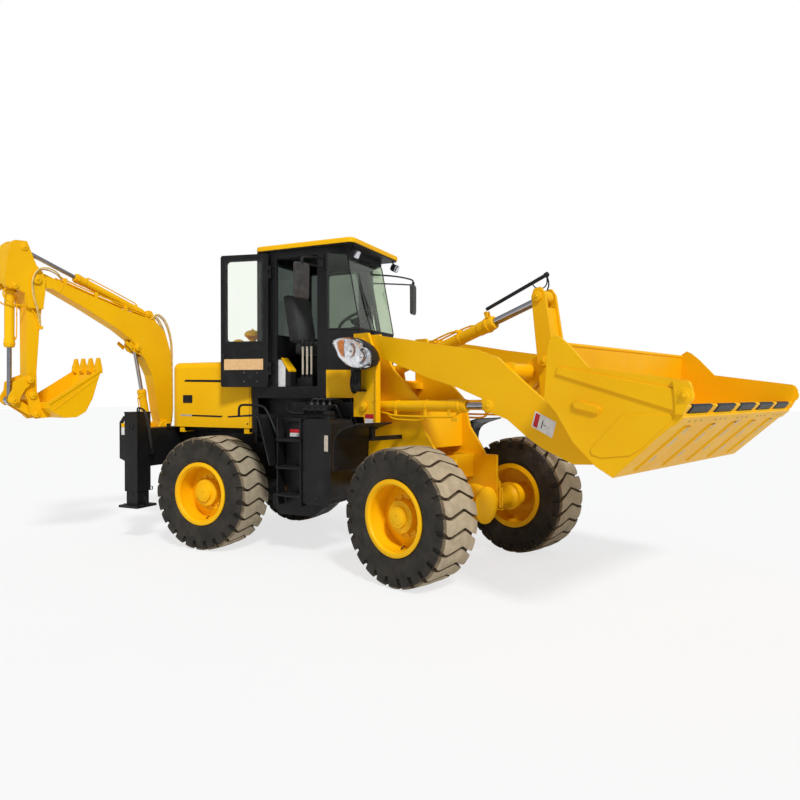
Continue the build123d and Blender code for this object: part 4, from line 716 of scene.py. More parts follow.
for s in SIDES:
    tank_trim.ring_plate(rounded((-30, 30), (966, 1132), 10), rounded((-20, 20), (978, 1120), 6), s * 880, s * 886)
    for z in (972, 1126):
        tank_trim.bolt((0, s * 886, z), (0, s, 0), 5)
    gauge.prism(rounded((-21, 21), (977, 1121), 6), s * 880, s * 883)
    gauge.pipe([(0, s * 884, 980), (0, s * 884, 1118)], 6, 10, 0)
    tank_trim.lathe(
        (-90, s * 690, 1256), (0, 0, 1),
        [(0, 62), (8, 62), (10, 48), (34, 48), (36, 54), (62, 54), (68, 46), (68, 0)], 28,
    )
    tank_trim.bolt_ring((-90, s * 690, 1264), (0, 0, 1), 55, 6, 4)
    tank_trim.lathe((-103, s * 880, 560), (0, s, 0), [(0, 20), (6, 20), (8, 14), (8, 0)], 20)
    tank_trim.bolt((-103, s * 887, 560), (0, s, 0), 9)
    tank_trim.box((-486, -254), (s * 776, s * 780), (1196, 1204))
    label_plate(label_high, s, (-446, -344), (1127, 1159), 778)
    label_plate(label_low, s, (-446, -344), (1092, 1126), 778)
tank_trim.done("tank_fittings", BLACK, "machine", bevel=0.8)
gauge.done("tank_gauges", CREAM, "machine")
label_high.done("tank_label_heads", RED, "machine")
label_low.done("tank_label_fields", WHITE, "machine")

# valve block and hoses between the tanks and the cab
block = Maker(REAR)
block.box((-430, -110), (-640, -452), (1262, 1286))
block.prism(rounded((-400, -150), (1286, 1378), 10), -600, -480)
for i in range(4):
    x = -375 + i * 66
    block.lathe((x, -600, 1330), (0, -1, 0), [(0, 26), (30, 26), (32, 20), (52, 18), (54, 12), (70, 12)], 20)
    block.bolt((x, -670, 1330), (0, -1, 0), 10)
block.box((-470, 26), (-452, -440), (1262, 1404))
block.box((-640, -470), (-470, -440), (1290, 1400))
block.done("valve_block", PLASTIC, "machine", bevel=2)
ports = Maker(REAR)
lines = Maker(REAR)
for i in range(4):
    x = -375 + i * 66
    ports.lathe((x, -520, 1378), (0, 0, 1), [(0, 15), (10, 15), (11, 12), (26, 12)], 6)
    lines.pipe(
        [
            (x, -520, 1400), (x + 6, -520, 1430), (x + 40, -500, 1434), (x + 90, -470, 1420),
            (0, -430 + 8 * i, 1340 - 16 * i), (20, -380, 1220 - 20 * i), (20, -345, 1120),
        ],
        11, 10,
    )
for i in range(3):
    z = 1306 + 26 * i
    lines.pipe(
        [
            (-150, -500 - 24 * i, z), (-90, -540 - 16 * i, z + 24), (-70, -545 - 10 * i, z - 10),
            (-44, -506, 1240 - 10 * i), (6, -440, 1180),
        ],
        10, 10,
    )
    ports.lathe((-152, -500 - 24 * i, z), (1, 0.2, 0.1), [(0, 13), (10, 13), (12, 11), (24, 11)], 6)
lines.pipe([(-400, -560, 1300), (-520, -600, 1290), (-640, -560, 1330), (-700, -440, 1400)], 12, 10)
ports.done("valve_ports", STEEL, "machine", bevel=0.6)
lines.done("valve_hoses", HOSE, "machine")
battery = Maker(REAR)
battery.prism(rounded((-430, -120), (1266, 1400), 12), 460, 640)
battery.prism(rounded((-436, -114), (1400, 1414), 8), 454, 646)
battery.box((-300, -250), (640, 648), (1370, 1410))
battery.done("battery_box", PLASTIC, "machine", bevel=3)

# ------------------------------------------------------------------ cab
PLAN = [(-235, -470), (60, -365), (60, 365), (-235, 470)]
PLAN_OUT = [(-234.4, -473.4), (62.6, -367.2), (62.6, 367.2), (-234.4, 473.4)]
apron = [(-247, -473.4), *PLAN_OUT, (-247, 473.4), (-247, 470), *PLAN[::-1], (-247, -470)]
plates("cab_apron", YELLOW, REAR, "machine", [(apron, 1443, 1706, "xy")], bevel=0.8)


def screen_x(z):
    """Where the sloping windscreen stands at a height."""
    return 60 - 138 * (z - 2090) / 710


seams = Maker(REAR)
for s in SIDES:
    seams.pipe([(screen_x(2092), s * 366, 2092), (screen_x(2798), s * 366, 2798)], 6, 8, 0)
    seams.pipe([(-236, s * 471, 2092), (-236, s * 471, 2798)], 7, 8, 0)
    seams.pipe([(-236, s * 471, 2094), (screen_x(2094), s * 367, 2094)], 7, 8, 0)
seams.pipe([(screen_x(2094), -367, 2094), (screen_x(2094), 367, 2094)], 7, 8, 0)
low_ring = [(22, 44), (50, 44), (50, 96), (22, 96)]
post = [[(x, y, 2086) for x, y in low_ring], [(x - 138, y, 2802) for x, y in low_ring]]
seams.rings(post)
seams.done("windscreen_seams", HOSE, "machine", bevel=0.5)
wiper = Maker(REAR)
wiper.lathe((62, -90, 2068), (1, 0, 0.2), [(0, 24), (10, 22), (16, 12), (24, 10)], 20)
wiper.pipe([(78, -90, 2070), (screen_x(2300) + 24, -150, 2300), (screen_x(2440) + 15, -185, 2440)], 5, 8, 0)
wiper.pipe([(screen_x(2230) + 9, -140, 2230), (screen_x(2640) + 9, -226, 2640)], 6, 8, 0)
wiper.done("windscreen_wiper", PLASTIC, "machine", bevel=0.6)
headliner = [(x, y) for x, y in rounded((-1030, 50), (-501, 501), 56)]
plates("roof_lining", PLASTIC, REAR, "machine", [(headliner, 2868, 2879.6, "xy")], bevel=1)
marker = Maker(REAR)
for s in SIDES:
    marker.prism(rounded((-995, -885), (1700, 2040), 18), s * 469.5, s * 472)
    for z in (1600, 1990):
        marker.bolt((-300, s * 470, z), (0, s, 0), 6)
marker.done("cab_side_plates", BLACK, "machine", bevel=1)

# ------------------------------------------------------------------ doors
HINGE = Vector((-868, -492, 0))


def dress_door(side, place):
    """Seal, strip, bolts, latch and handles of a door, drawn closed on the right side."""
    body = f"{side}_door"
    seal = Maker(place)
    hole = rounded((-806, -394), (1983, 2804), 3)
    clear = rounded((-790, -410), (1999, 2788), 34)
    seal.ring_plate(hole, clear, -471.5, -508.5)
    seal.done(f"{side}_door_seal", HOSE, body, bevel=1)
    metal = Maker(place)
    for x in (-733, -600):
        for z in (1604, 1690):
            metal.bolt((x, -474, z), (0, 1, 0), 6)
    metal.bolt((-372, -474, 1850), (0, 1, 0), 8)
    metal.done(f"{side}_door_bolts", STEEL, body)
    plates(f"{side}_door_strip", TAN, place, body, [(rounded((-800, -385), (1718, 1824), 3), -474.2, -472.6)])
    handle = Maker(place)
    handle.ring_plate(rounded((-640, -515), (1876, 1912), 14), rounded((-632, -523), (1884, 1904), 9), -474, -470)
    handle.prism(rounded((-696, -640), (1622, 1672), 8), -474, -469)
    handle.prism(rounded((-392, -352), (1822, 1878), 6), -474, -466)
    handle.prism(rounded((-402, -352), (1800, 1900), 8), -506, -510)
    handle.pipe([(-380, -506, 1770), (-380, -540, 1780), (-380, -540, 1915), (-380, -506, 1925)], 9, 10)
    handle.done(f"{side}_door_handles", PLASTIC, body, bevel=1.2)
    # A dark film inside the handle's rim: painted shade in the handle's pocket.
    recess_shade = Maker(place)
    recess_shade.prism(rounded((-636, -519), (1880, 1908), 12), -474, -472.8)
    recess_shade.done(f"{side}_door_recess", STRIPE, body)


opened = Matrix.Translation(HINGE) @ Matrix.Rotation(radians(-168), 4, "Z") @ Matrix.Translation(-HINGE)
dress_door("right", REAR @ opened)
dress_door("left", REAR @ Matrix.Scale(-1, 4, (0, 1, 0)))

# ------------------------------------------------------------------ mirrors and lamps
def mirror_ring(head, depth, half_width, half_height, corner):
    """A mirror's outline at a depth, a little narrower at its foot."""
    outline = rounded((-half_width, half_width), (-half_height, half_height), corner, 5)
    return [head @ Vector((depth, a * (0.93 + 0.07 * (b + 162) / 324), b)) for a, b in outline]


mirror_heads, mirror_arms, mirror_glass = Maker(REAR), Maker(REAR), Maker(REAR)
for s, at, yaw, roots in (
    (-1, (-300, -805, 2500), -20, ((-296, -478, 2764), (-300, -640, 2738), (-300, -790, 2716))),
    (1, (120, 745, 2505), 6, ((-300, 478, 2764), (-60, 640, 2760), (112, 742, 2724))),
):
    head = Matrix.Translation(at) @ Matrix.Rotation(radians(yaw), 4, "Z")
    shell = ((-12, 86, 162, 26), (0, 86, 162, 26), (9, 81, 157, 26), (16, 64, 140, 26))
    mirror_heads.rings([mirror_ring(head, *row) for row in shell])
    mirror_glass.rings([mirror_ring(head, depth, 80, 156, 22) for depth in (-12, -14.5)])
    upper = [*roots, (at[0], at[1], at[2] + 190), (at[0], at[1], at[2] + 60)]
    mirror_arms.pipe(upper, 9, 10)
    lower = [(roots[0][0], roots[0][1], 2672), (at[0] - 6 * s, at[1] - 40 * s, 2662), (at[0], at[1], at[2] + 150)]
    mirror_arms.pipe(lower, 8, 10, 1)
    mirror_arms.box((roots[0][0] - 24, roots[0][0] + 24), sorted((s * 470.3, s * 482)), (2648, 2790))
    mirror_arms.lathe((at[0], at[1], at[2] + 150), (0, 0, 1), [(0, 15), (40, 15), (42, 12)], 16)
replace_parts(mirror_heads.done("mirror_heads", MIRROR_SHELL, "machine", bevel=1.5), "mirrors")
mirror_glass.done("mirror_glass", REFLECTOR, "machine")
mirror_arms.done("mirror_arms", PLASTIC, "machine", bevel=1)

lamp_shells, lamp_bowls, lamp_lenses = Maker(REAR), Maker(REAR), Maker(REAR)
for s, at in ((-1, (14, -385, 2794)), (1, (36, 440, 2800))):
    tilt = Matrix.Translation(at) @ Matrix.Rotation(radians(24), 4, "Y")
    rings = []
    for depth, half in ((-34, 24), (-26, 38), (0, 46), (24, 48)):
        rings.append(
            [tilt @ Vector((depth, a, b)) for a, b in rounded((-half, half), (-half * 0.8, half * 0.8), 10)]
        )
    lamp_shells.rings(rings)
    lamp_shells.pipe([tilt @ Vector((-10, 0, 30)), (at[0] - 18, at[1], 2850), (at[0] - 18, at[1], 2870)], 8, 10, 1)
    face = rounded((-43, 43), (-34, 34), 8)
    lamp_bowls.rings([[tilt @ Vector((d, a, b)) for a, b in face] for d in (24, 25.5)])
    lamp_lenses.rings(
        [[tilt @ Vector((d, a * k, b * k)) for a, b in face] for d, k in ((27, 1), (31, 1), (34, 0.9))]
    )
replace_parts(lamp_shells.done("work_lamp_shells", PLASTIC, "machine", bevel=1.5), "work_lights")
lamp_bowls.done("work_lamp_bowls", REFLECTOR, "machine")
lamp_lenses.done("work_lamp_lenses", LENS, "machine", bevel=0.8)

# ------------------------------------------------------------------ inside the cab
stems = Maker(REAR)
boots = Maker(REAR)
for x in (-625, -575, -525):
    stems.pipe([(x, -290, 1652), (x, -290, 1950)], 10.5, 10, 0)
    boots.lathe(
        (x, -290, 1640), (0, 0, 1), [(0, 23), (8, 23), (10, 19), (16, 21), (20, 16), (26, 18), (34, 11.5)], 16,
    )
    boots.lathe((x, -290, 1950), (0, 0, 1), [(0, 12), (8, 18), (24, 24), (44, 22), (54, 12), (56, 0)], 16)
stems.done("lever_sleeves", CREAM, "machine")
boots.pipe([(-660, -334, 1541), (-660, -334, 1590), (-640, -334, 1600)], 6, 8)
boots.done("lever_boots", HOSE, "machine")
box = [(-838, 1541), (-735, 1541), (-735, 1742), (-783, 1816), (-838, 1816)]
plates("side_box", WHITE, REAR, "machine", [(box, -438, -330)], bevel=4)
slope = [(-786, 1836), (-768, 1836), (-672, 1716), (-672, 1698), (-694, 1698)]
plates("side_box_guard", YELLOW, REAR, "machine", [(slope, -436, -334)], bevel=2)
plates(
    "side_locker", PLASTIC, REAR, "machine",
    [([(-733, 1541), (-674, 1541), (-674, 1696), (-733, 1730)], -432, -332)], bevel=4,
)
dash = Maker(REAR)
dash.rings([
    [(-70, -170, 1952), (30, -170, 1952), (30, 170, 1952), (-70, 170, 1952)],
    [(-64, -160, 2010), (30, -160, 2050), (30, 160, 2050), (-64, 160, 2010)],
])
dash.done("instrument_hood", PLASTIC, "machine", bevel=6)
dials = Maker(REAR)
for y in (-100, -34, 34, 100):
    dials.lathe((-69, y, 1982), (-1, 0, 0.12), [(0, 26), (4, 26), (5, 22), (5, 0)], 24)
dials.done("instrument_dials", SILVER, "machine")
pads = Maker(REAR)
pads.box((-395, -60), (-300, 300), (1540.4, 1546))
for i in range(14):
    pads.box((-388 + 24 * i, -378 + 24 * i), (-290, 290), (1546, 1549))
pads.done("floor_mat", HOSE, "machine", bevel=0.8)


def crowned(name, low, high, swell, place, corner):
    """A smooth pad: a box whose faces swell and whose sides pull in between its corners."""
    bm = bmesh.new()
    size = [h - l for l, h in zip(low, high)]
    middle = [(l + h) / 2 for l, h in zip(low, high)]
    bmesh.ops.create_cube(bm, size=2)
    bmesh.ops.subdivide_edges(bm, edges=bm.edges[:], cuts=11, use_grid_fill=True)
    for vert in bm.verts:
        u, v, w = vert.co
        pull = 1 - corner * (u * u * v * v)
        crown = (1 - u * u) * (1 - v * v)
        edge = 1 - 0.16 * max(abs(u), abs(v)) ** 8
        vert.co = (
            middle[0] + u * pull * size[0] / 2,
            middle[1] + v * pull * size[1] / 2,
            middle[2] + w * (size[2] / 2) * edge + (swell * crown if w > 0 else -swell * 0.3 * crown),
        )
    mesh = bpy.data.meshes.new(name)
    bm.to_mesh(mesh)
    bm.free()
    mesh.transform(place)
    piece = bpy.data.objects.new(name, mesh)
    bpy.context.scene.collection.objects.link(piece)
    mesh.materials.append(FABRIC)
    mesh.shade_smooth()
    return piece


def puffed(piece, reach):
    """Swells a pad by cloth simulation, no point moving further than its reach in metres."""
    remesh = piece.modifiers.new("remesh", "REMESH")
    remesh.mode = "VOXEL"
    remesh.voxel_size = 0.006
    bpy.context.view_layer.objects.active = piece
    piece.select_set(True)
    bpy.ops.object.modifier_apply(modifier=remesh.name)
    before = [vert.co.copy() for vert in piece.data.vertices]
    cloth = piece.modifiers.new("cloth", "CLOTH")
    cloth.settings.use_pressure = True
    cloth.settings.uniform_pressure_force = 4
    cloth.settings.effector_weights.gravity = 0
    cloth.point_cache.frame_start = 1
    cloth.point_cache.frame_end = 20
    for number in range(1, 21):
        bpy.context.scene.frame_set(number)
    graph = bpy.context.evaluated_depsgraph_get()
    after = [vert.co.copy() for vert in piece.evaluated_get(graph).to_mesh().vertices]
    piece.modifiers.remove(cloth)
    bpy.context.scene.frame_set(1)
    for vert, start, end in zip(piece.data.vertices, before, after):
        step = end - start
        vert.co = start + step * min(1, reach / max(step.length, 1e-6))
    smooth = piece.modifiers.new("smooth", "SUBSURF")
    smooth.levels = 1
    bpy.ops.object.modifier_apply(modifier=smooth.name)
    piece.select_set(False)
    piece.data.shade_smooth()


cushion = crowned("seat_cushion", (-782, -226, 1886), (-338, 226, 1986), 10, REAR, 0.05)
puffed(cushion, 0.012)
lean = Matrix.Translation((-800, 0, 2000)) @ Matrix.Rotation(radians(-10), 4, "Y")
stand = lean @ Matrix.Rotation(radians(90), 4, "Y")
backrest = crowned("seat_backrest", (-510, -214, -40), (6, 214, 38), 10, REAR @ stand, 0.05)
puffed(backrest, 0.012)
for pad in (cushion, backrest):
    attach(pad, "machine")
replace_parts(cushion, "seat_cushions")
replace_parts(backrest, "seat_cushions")

# ------------------------------------------------------------------ backhoe carrier and stabilizers
frame_trim = Maker(REAR)
frame_hole_shades = Maker(REAR)
frame_hoses = Maker(REAR)
tags, tag_heads = Maker(REAR), Maker(REAR)
for s in SIDES:
    face = s * 950
    frame_trim.prism(rounded((-2324, -2141), sorted((s * 768, s * 956)), 10), 1288, 1300, "xy")
    frame_trim.lathe((-2228, face, 1150), (0, s, 0), [(0, 30), (0, 22), (6, 22), (6, 30)], 24, closed=True)
    # A dark disc in each bore: painted shade inside the hole.
    frame_hole_shades.lathe((-2228, face, 1150), (0, s, 0), [(0, 21), (1.5, 21), (1.5, 0)], 24)
    frame_trim.ring_plate(
        rounded((-2336, -2129), (500, 540), 6), rounded((-2332, -2133), (504, 536), 4), s * 762, s * 774,
    )
    for x in (-2300, -2165):
        frame_trim.bolt((x, face, 1262), (0, s, 0), 8)
        frame_trim.bolt((x, face, 530), (0, s, 0), 8)
    for i, x in enumerate((-2175, -2150)):
        path = [(x - 40, s * 880, 1300), (x - 30, s * 890, 1348 - 8 * i), (x + 60, s * 892, 1330 - 10 * i)]
        path += [
            (x + 110 - 10 * i, s * 886, 1150), (x + 120 - 10 * i, s * 860, 960), (x + 60, s * 800, 880),
            (x, s * 780, 860),
        ]
        frame_hoses.pipe(path, 7.5, 10)
    label_plate(tags, s, (-2442, -2352), (1062, 1140), 875)
    label_plate(tag_heads, s, (-2442, -2352), (1142, 1180), 875)
frame_trim.box((-2140, -2120), (-560, -520), (1130, 1170))
frame_trim.done("carrier_trim", BLACK, "machine", bevel=1.2)
frame_hole_shades.done("carrier_hole_shades", STRIPE, "machine")
frame_hoses.done("stabilizer_hoses", HOSE, "machine")
tags.done("carrier_tags", WHITE, "machine")
tag_heads.done("carrier_tag_heads", YELLOW, "machine")
for side, s in (("left", 1), ("right", -1)):
    leg = Maker(REAR)
    middle = s * 862
    for x, out in ((-2344, -1), (-2121, 1)):
        gusset = [(x - out * 13, 364), (x + out * 20, 364), (x - out * 13, 440)]
        leg.prism(gusset, middle - 6, middle + 6)
    for x in (-2345, -2120):
        for y in (s * 800, s * 924):
            leg.bolt((x, y, 364), (0, 0, 1), 9)
    leg.lathe((-2232, s * 938, 470), (0, s, 0), [(0, 18), (3, 18), (3, 0)], 20)
    leg.done(f"{side}_leg_trim", BLACK, f"{side}_stabilizer", bevel=1)

# ------------------------------------------------------------------ front half
LAMP_OUTLINE = [
    (200, 1950), (290, 1974), (400, 1978), (520, 1960), (620, 1910), (690, 1838), (716, 1770), (690, 1712), (
        620, 1692,
    ),
    (500, 1700), (390, 1740), (290, 1815),
]
bowls, ambers, covers, brackets, housings = Maker(FRONT), Maker(FRONT), Maker(FRONT), Maker(FRONT), Maker(FRONT)


def shrunk(points, share):
    """An outline drawn in towards its middle."""
    cx = sum(p[0] for p in points) / len(points)
    cz = sum(p[1] for p in points) / len(points)
    return [(cx + (x - cx) * share, cz + (z - cz) * share) for x, z in points]


for s in SIDES:
    housing = [(545, 0.74), (552, 0.80), (600, 0.93), (650, 0.985), (672, 0.99), (676, 0.97)]
    housings.rings([[(x, s * y, z) for x, z in shrunk(LAMP_OUTLINE, share)] for y, share in housing])
    housings.box((350, 470), sorted((s * 518, s * 600)), (1500, 1520))
    housings.prism([(350, 1500), (470, 1500), (470, 1745), (350, 1765)], s * 585, s * 600)
    bowls.prism(shrunk(LAMP_OUTLINE, 0.95), s * 676, s * 678)
    for x, z, r in ((590, 1800, 62), (462, 1856, 66)):
        dish = [(0, r + 6), (10, r + 6), (10, r), (3, r * 0.8), (0.5, r * 0.4), (0.5, 0)]
        bowls.lathe((x, s * 678, z), (0, s, 0), dish, 32)
        bowls.lathe((x, s * 679, z), (0, s, 0), [(0, 16), (10, 14), (18, 7), (19, 0)], 20)
    for i in range(4):
        bowls.box((380 - 30 * i, 385 - 30 * i), sorted((s * 678, s * 685)), (1834 + 14 * i, 1934))
    ambers.prism([(292, 1936), (340, 1950), (372, 1944), (378, 1806), (346, 1820), (306, 1872)], s * 678, s * 690)
    skins = []
    for out, share in ((672, 1.0), (700, 0.985), (714, 0.93), (724, 0.80), (728, 0.5)):
        skins.append([(x, s * out, z) for x, z in shrunk(LAMP_OUTLINE, share)])
    covers.rings(skins)
    brackets.ring_plate(shrunk(LAMP_OUTLINE, 1.015), shrunk(LAMP_OUTLINE, 0.985), s * 664, s * 680)
    for x, z in ((366, 1530), (452, 1530), (366, 1620), (452, 1620), (410, 1690)):
        brackets.bolt((x, s * 600, z), (0, s, 0), 9)
    for i in range(3):
        path = [
            (400 + 30 * i, s * 570, 1740), (372 + 34 * i, s * (612 + 8 * i), 1660), (350 + 40 * i, s * 606, 1560),
        ]
        brackets.pipe(path + [(300 + 20 * i, s * 540, 1500), (240, s * 420, 1440)], 7, 10)
bowls.done("headlight_bowls", REFLECTOR, "front_frame")
ambers.done("headlight_indicators", AMBER, "front_frame")
covers.done("headlight_covers", LENS, "front_frame")
brackets.done("headlight_brackets", PLASTIC, "front_frame", bevel=1)
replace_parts(housings.done("headlight_housings", PLASTIC, "front_frame", bevel=2), "headlights")

pin_caps("tower_pin_caps", FRONT, "front_frame", [(420, 1930, 531, 45), (440, 1370, 531, 43)])
tower = Maker(FRONT)
tower_label_low, tower_label_high = Maker(FRONT), Maker(FRONT)
for s in SIDES:
    tower.box((300, 600), sorted((s * 516, s * 520)), (1688, 1698))
    tower.prism([(300, 1275), (312, 1275), (312, 2022), (300, 2022)], s * 487, s * 521)
    tower.prism([(600, 1224), (612, 1224), (612, 1750), (600, 1760)], s * 487, s * 540)
    for z in (1250, 1420, 1600):
        tower.bolt((560, s * 517, z), (0, s, 0), 10)
    for x, z in ((1180, 730), (1120, 790), (1060, 730), (990, 790)):
        tower.bolt((x, s * 333, z), (0, s, 0), 12)
    label_plate(tower_label_high, s, (447, 557), (1262, 1302), 517)
    label_plate(tower_label_low, s, (447, 557), (1206, 1261), 517)
tower.done("tower_trim", YELLOW, "front_frame", bevel=1)
tower_label_high.done("tower_label_heads", RED, "front_frame")
tower_label_low.done("tower_label_fields", WHITE, "front_frame")

guards = Maker(FRONT)
for s in SIDES:
    edge = [(556, 845), (558, 1010), (576, 1120), (655, 1185), (850, 1240)]
    for side_y in (592, 983):
        guards.pipe([(x + 2, s * side_y, z - 1) for x, z in edge], 6, 8, 1)
    guards.pipe([(556, s * 592, 846), (556, s * 983, 846)], 6, 8, 0)
    guards.pipe([(850, s * 592, 1239), (850, s * 983, 1239)], 6, 8, 0)
    for y in (650, 720):
        guards.bolt((708, s * y, 1206), (-0.33, 0, 0.94), 8)
    guards.prism([(553, 850), (556, 850), (558, 1005), (555, 1010)], s * 700, s * 740)
guards.done("mudguard_edges", BLACK, "front_frame", bevel=0.5)

# axles: covers, bolts and pipes
for name, axle_x, place, body in (
    ("front", FRONT_AXLE_X, FRONT, "front_frame"), ("rear", REAR_AXLE_X, REAR, "machine"),
):
    maker = Maker(place)
    out = 1 if name == "front" else -1
    maker.lathe(
        (axle_x + out * 150, 0, TYRE_RADIUS), (out, 0, 0),
        [(0, 158), (12, 158), (22, 140), (34, 96), (40, 60), (40, 0)], 36,
    )
    maker.bolt_ring((axle_x + out * 162, 0, TYRE_RADIUS), (out, 0, 0), 148, 12, 8)
    for s in SIDES:
        maker.lathe(
            (axle_x, s * 560, TYRE_RADIUS), (0, s, 0), [(0, 77), (0, 128), (14, 128), (14, 77)], 36, closed=True,
        )
        maker.bolt_ring((axle_x, s * 574, TYRE_RADIUS), (0, s, 0), 118, 12, 8)
        maker.lathe(
            (axle_x, s * 200, TYRE_RADIUS), (0, s, 0), [(0, 76), (0, 98), (16, 98), (16, 76)], 32, closed=True,
        )
        for x in (-88, 88):
            for y in (300, 330):
                maker.pipe([(axle_x + x, s * y, 470), (axle_x + x, s * y, 650)], 9, 8, 0)
                maker.bolt((axle_x + x, s * y, 462), (0, 0, -1), 12)
        maker.prism(
            [(axle_x - 106, 452), (axle_x + 106, 452), (axle_x + 106, 462), (axle_x - 106, 462)], s * 286, s * 344,
        )
        maker.pipe([(axle_x - 60, s * 60, 690), (axle_x - 70, s * 300, 640), (axle_x - 60, s * 560, 640)], 5, 6)
    maker.done(f"{name}_axle_fittings", YELLOW if name == "front" else BLACK, body, bevel=0.8)

# pipes and hoses between the tower plates
loader_lines = Maker(FRONT)
for i in range(4):
    y = -60 + 40 * i
    loader_lines.pipe(
        [
            (250, y * 0.6, 1120), (360, y, 1200), (480, y, 1330), (620, y * 1.6, 1400), (760, y * 2.2, 1300),
            (850, y * 2.4, 1180),
        ],
        12, 10,
    )
for s in SIDES:
    loader_lines.pipe([(120, s * 60, 860), (200, s * 90, 1000), (300, s * 120, 1100)], 14, 10)
loader_lines.done("loader_hoses", HOSE, "front_frame")
valve = Maker(FRONT)
valve.prism(rounded((420, 620), (1180, 1290), 12), -130, 130)
for i in range(3):
    valve.lathe((520, -130, 1200 + 32 * i), (0, -1, 0), [(0, 14), (40, 14), (42, 10), (60, 10), (60, 0)], 16)
    valve.lathe((520, 130, 1200 + 32 * i), (0, 1, 0), [(0, 14), (40, 14), (42, 10), (60, 10), (60, 0)], 16)
valve.box((420, 640), (-150, 150), (1168, 1180))
valve.done("loader_valve", YELLOW, "front_frame", bevel=2)

# ------------------------------------------------------------------ loader arms and linkage
pin_caps("arm_pin_caps", FRONT, "loader_arms", [(2020, 1730, 120, 40), (1760, 1390, 481, 46)])
pin_caps("crank_pin_caps", FRONT, "bellcrank", [(1950, 2235, 104, 40), (2060, 1150, 104, 38)])
arm_trim = Maker(FRONT)
for s in SIDES:
    arm_trim.lathe((2720, s * 496, 1100), (0, s, 0), [(-20, 74), (-20, 90), (-15, 90), (-15, 74)], 40, closed=True)
    arm_trim.prism(rounded((1700, 1980), (1588, 1712), 12), s * 446, s * 451)
arm_trim.done("arm_trim", YELLOW, "loader_arms", bevel=1)
ARM_FACE = 481
board = [(2173, 1359), (2341, 1283), (2287, 1177), (2141, 1248)]


def inner_share(u, v):
    """A point on the arm's label, from its upper rear corner."""
    (ax, az), (bx, bz), _, (dx, dz) = board
    return ax + (bx - ax) * u + (dx - ax) * v, az + (bz - az) * u + (dz - az) * v


for name, material, thick, spans in (
    ("arm_labels", WHITE, 1.0, ((0, 1, 0, 1),)), ("arm_label_heads", RED, 1.6, ((0.06, 0.26, 0.08, 0.92),)),
    ("arm_label_marks", STRIPE, 1.6, ((0.42, 0.46, 0.30, 0.78), (0.50, 0.62, 0.52, 0.56))),
):
    rows = []
    for s in SIDES:
        for u0, u1, v0, v1 in spans:
            corners = [inner_share(u, v) for u, v in ((u0, v0), (u1, v0), (u1, v1), (u0, v1))]
            rows.append((corners, s * ARM_FACE, s * (ARM_FACE + thick)))
    plates(name, material, FRONT, "loader_arms", rows)

# lift cylinders
lift_trim = Maker(FRONT)
lift_axis = Vector((1320, 0, 20)).normalized()


def along_lift(distance, y, up=0.0):
    return Vector((440, y, 1370)) + lift_axis * distance + Vector((0, 0, up))


for s in SIDES:
    centre = s * 392
    end = along_lift(1040, centre)
    lift_trim.lathe(end, lift_axis, [(-60, 50), (-60, 58), (-40, 58), (-38, 50)], 32, closed=True)
    lift_trim.lathe(end, lift_axis, [(0, 29), (0, 50), (16, 48), (20, 40), (20, 29)], 32, closed=True)
    lift_trim.bolt_ring(end, lift_axis, 42, 8, 5)
    lift_trim.pipe(
        [
            along_lift(100, centre, -46), along_lift(110, s * 428, -56), along_lift(190, s * 430, -60),
            along_lift(260, s * 432, -82), along_lift(500, s * 434, -88), along_lift(910, s * 434, -92),
            along_lift(960, s * 420, -74), along_lift(980, centre, -50),
        ],
        9, 10,
    )
    lift_trim.pipe(
        [
            along_lift(100, centre, -50), along_lift(120, s * 420, -60), along_lift(195, s * 428, -60),
            along_lift(265, s * 428, -112), along_lift(400, s * 428, -118), along_lift(590, s * 428, -122),
            along_lift(640, s * 424, -98),
        ],
        9, 10,
    )
    lift_trim.prism([(1372, 1262), (1438, 1262), (1438, 1290), (1372, 1290)], s * 424, s * 446)
    for at in (300, 640, 900):
        foot = along_lift(at, centre)
        lift_trim.lathe(foot, lift_axis, [(-12, 48), (-12, 53), (12, 53), (12, 48)], 28, closed=True)
        lift_trim.box((foot.x - 12, foot.x + 12), sorted((s * 420, s * 436)), (foot.z - 96, foot.z - 20))
lift_trim.done("lift_cylinder_trim", YELLOW, "lift_barrels", bevel=0.6)

# tilt cylinder, its pipes and the bucket's level indicator
tilt_trim = Maker(FRONT)
tilt_axis = Vector((1610, 0, 528)).normalized()
tilt_up = Vector((-tilt_axis.z, 0, tilt_axis.x))


def along_tilt(distance, y=0.0, up=0.0):
    return Vector((340, y, 1707)) + tilt_axis * distance + tilt_up * up


def tilt_block(foot, outline, heights):
    """A block on the tilt cylinder: an outline along and across it, between two heights."""
    tilt_trim.rings([[foot + tilt_axis * a + Vector((0, b, 0)) + tilt_up * c for a, b in outline] for c in heights])


tilt_end = along_tilt(1180)
tilt_trim.lathe(tilt_end, tilt_axis, [(-64, 58), (-64, 66), (-40, 66), (-38, 58)], 36, closed=True)
tilt_trim.lathe(tilt_end, tilt_axis, [(0, 33), (0, 57), (18, 55), (22, 46), (22, 33)], 36, closed=True)
tilt_trim.bolt_ring(tilt_end, tilt_axis, 49, 8, 6)
for y in (-34, 34):
    tilt_trim.pipe(
        [
            along_tilt(120, y * 0.6, 50), along_tilt(170, y, 84), along_tilt(420, y, 88),
            along_tilt(900 if y > 0 else 760, y, 88), along_tilt(980 if y > 0 else 820, y * 0.7, 58),
        ],
        8, 10,
    )
for at in (300, 560, 820):
    tilt_trim.lathe(along_tilt(at), tilt_axis, [(-11, 53), (-11, 58), (11, 58), (11, 53)], 32, closed=True)
    foot = along_tilt(at, 0, 74)
    tilt_block(foot, ((-10, -48), (10, -48), (10, 48), (-10, 48)), (-20, 4))
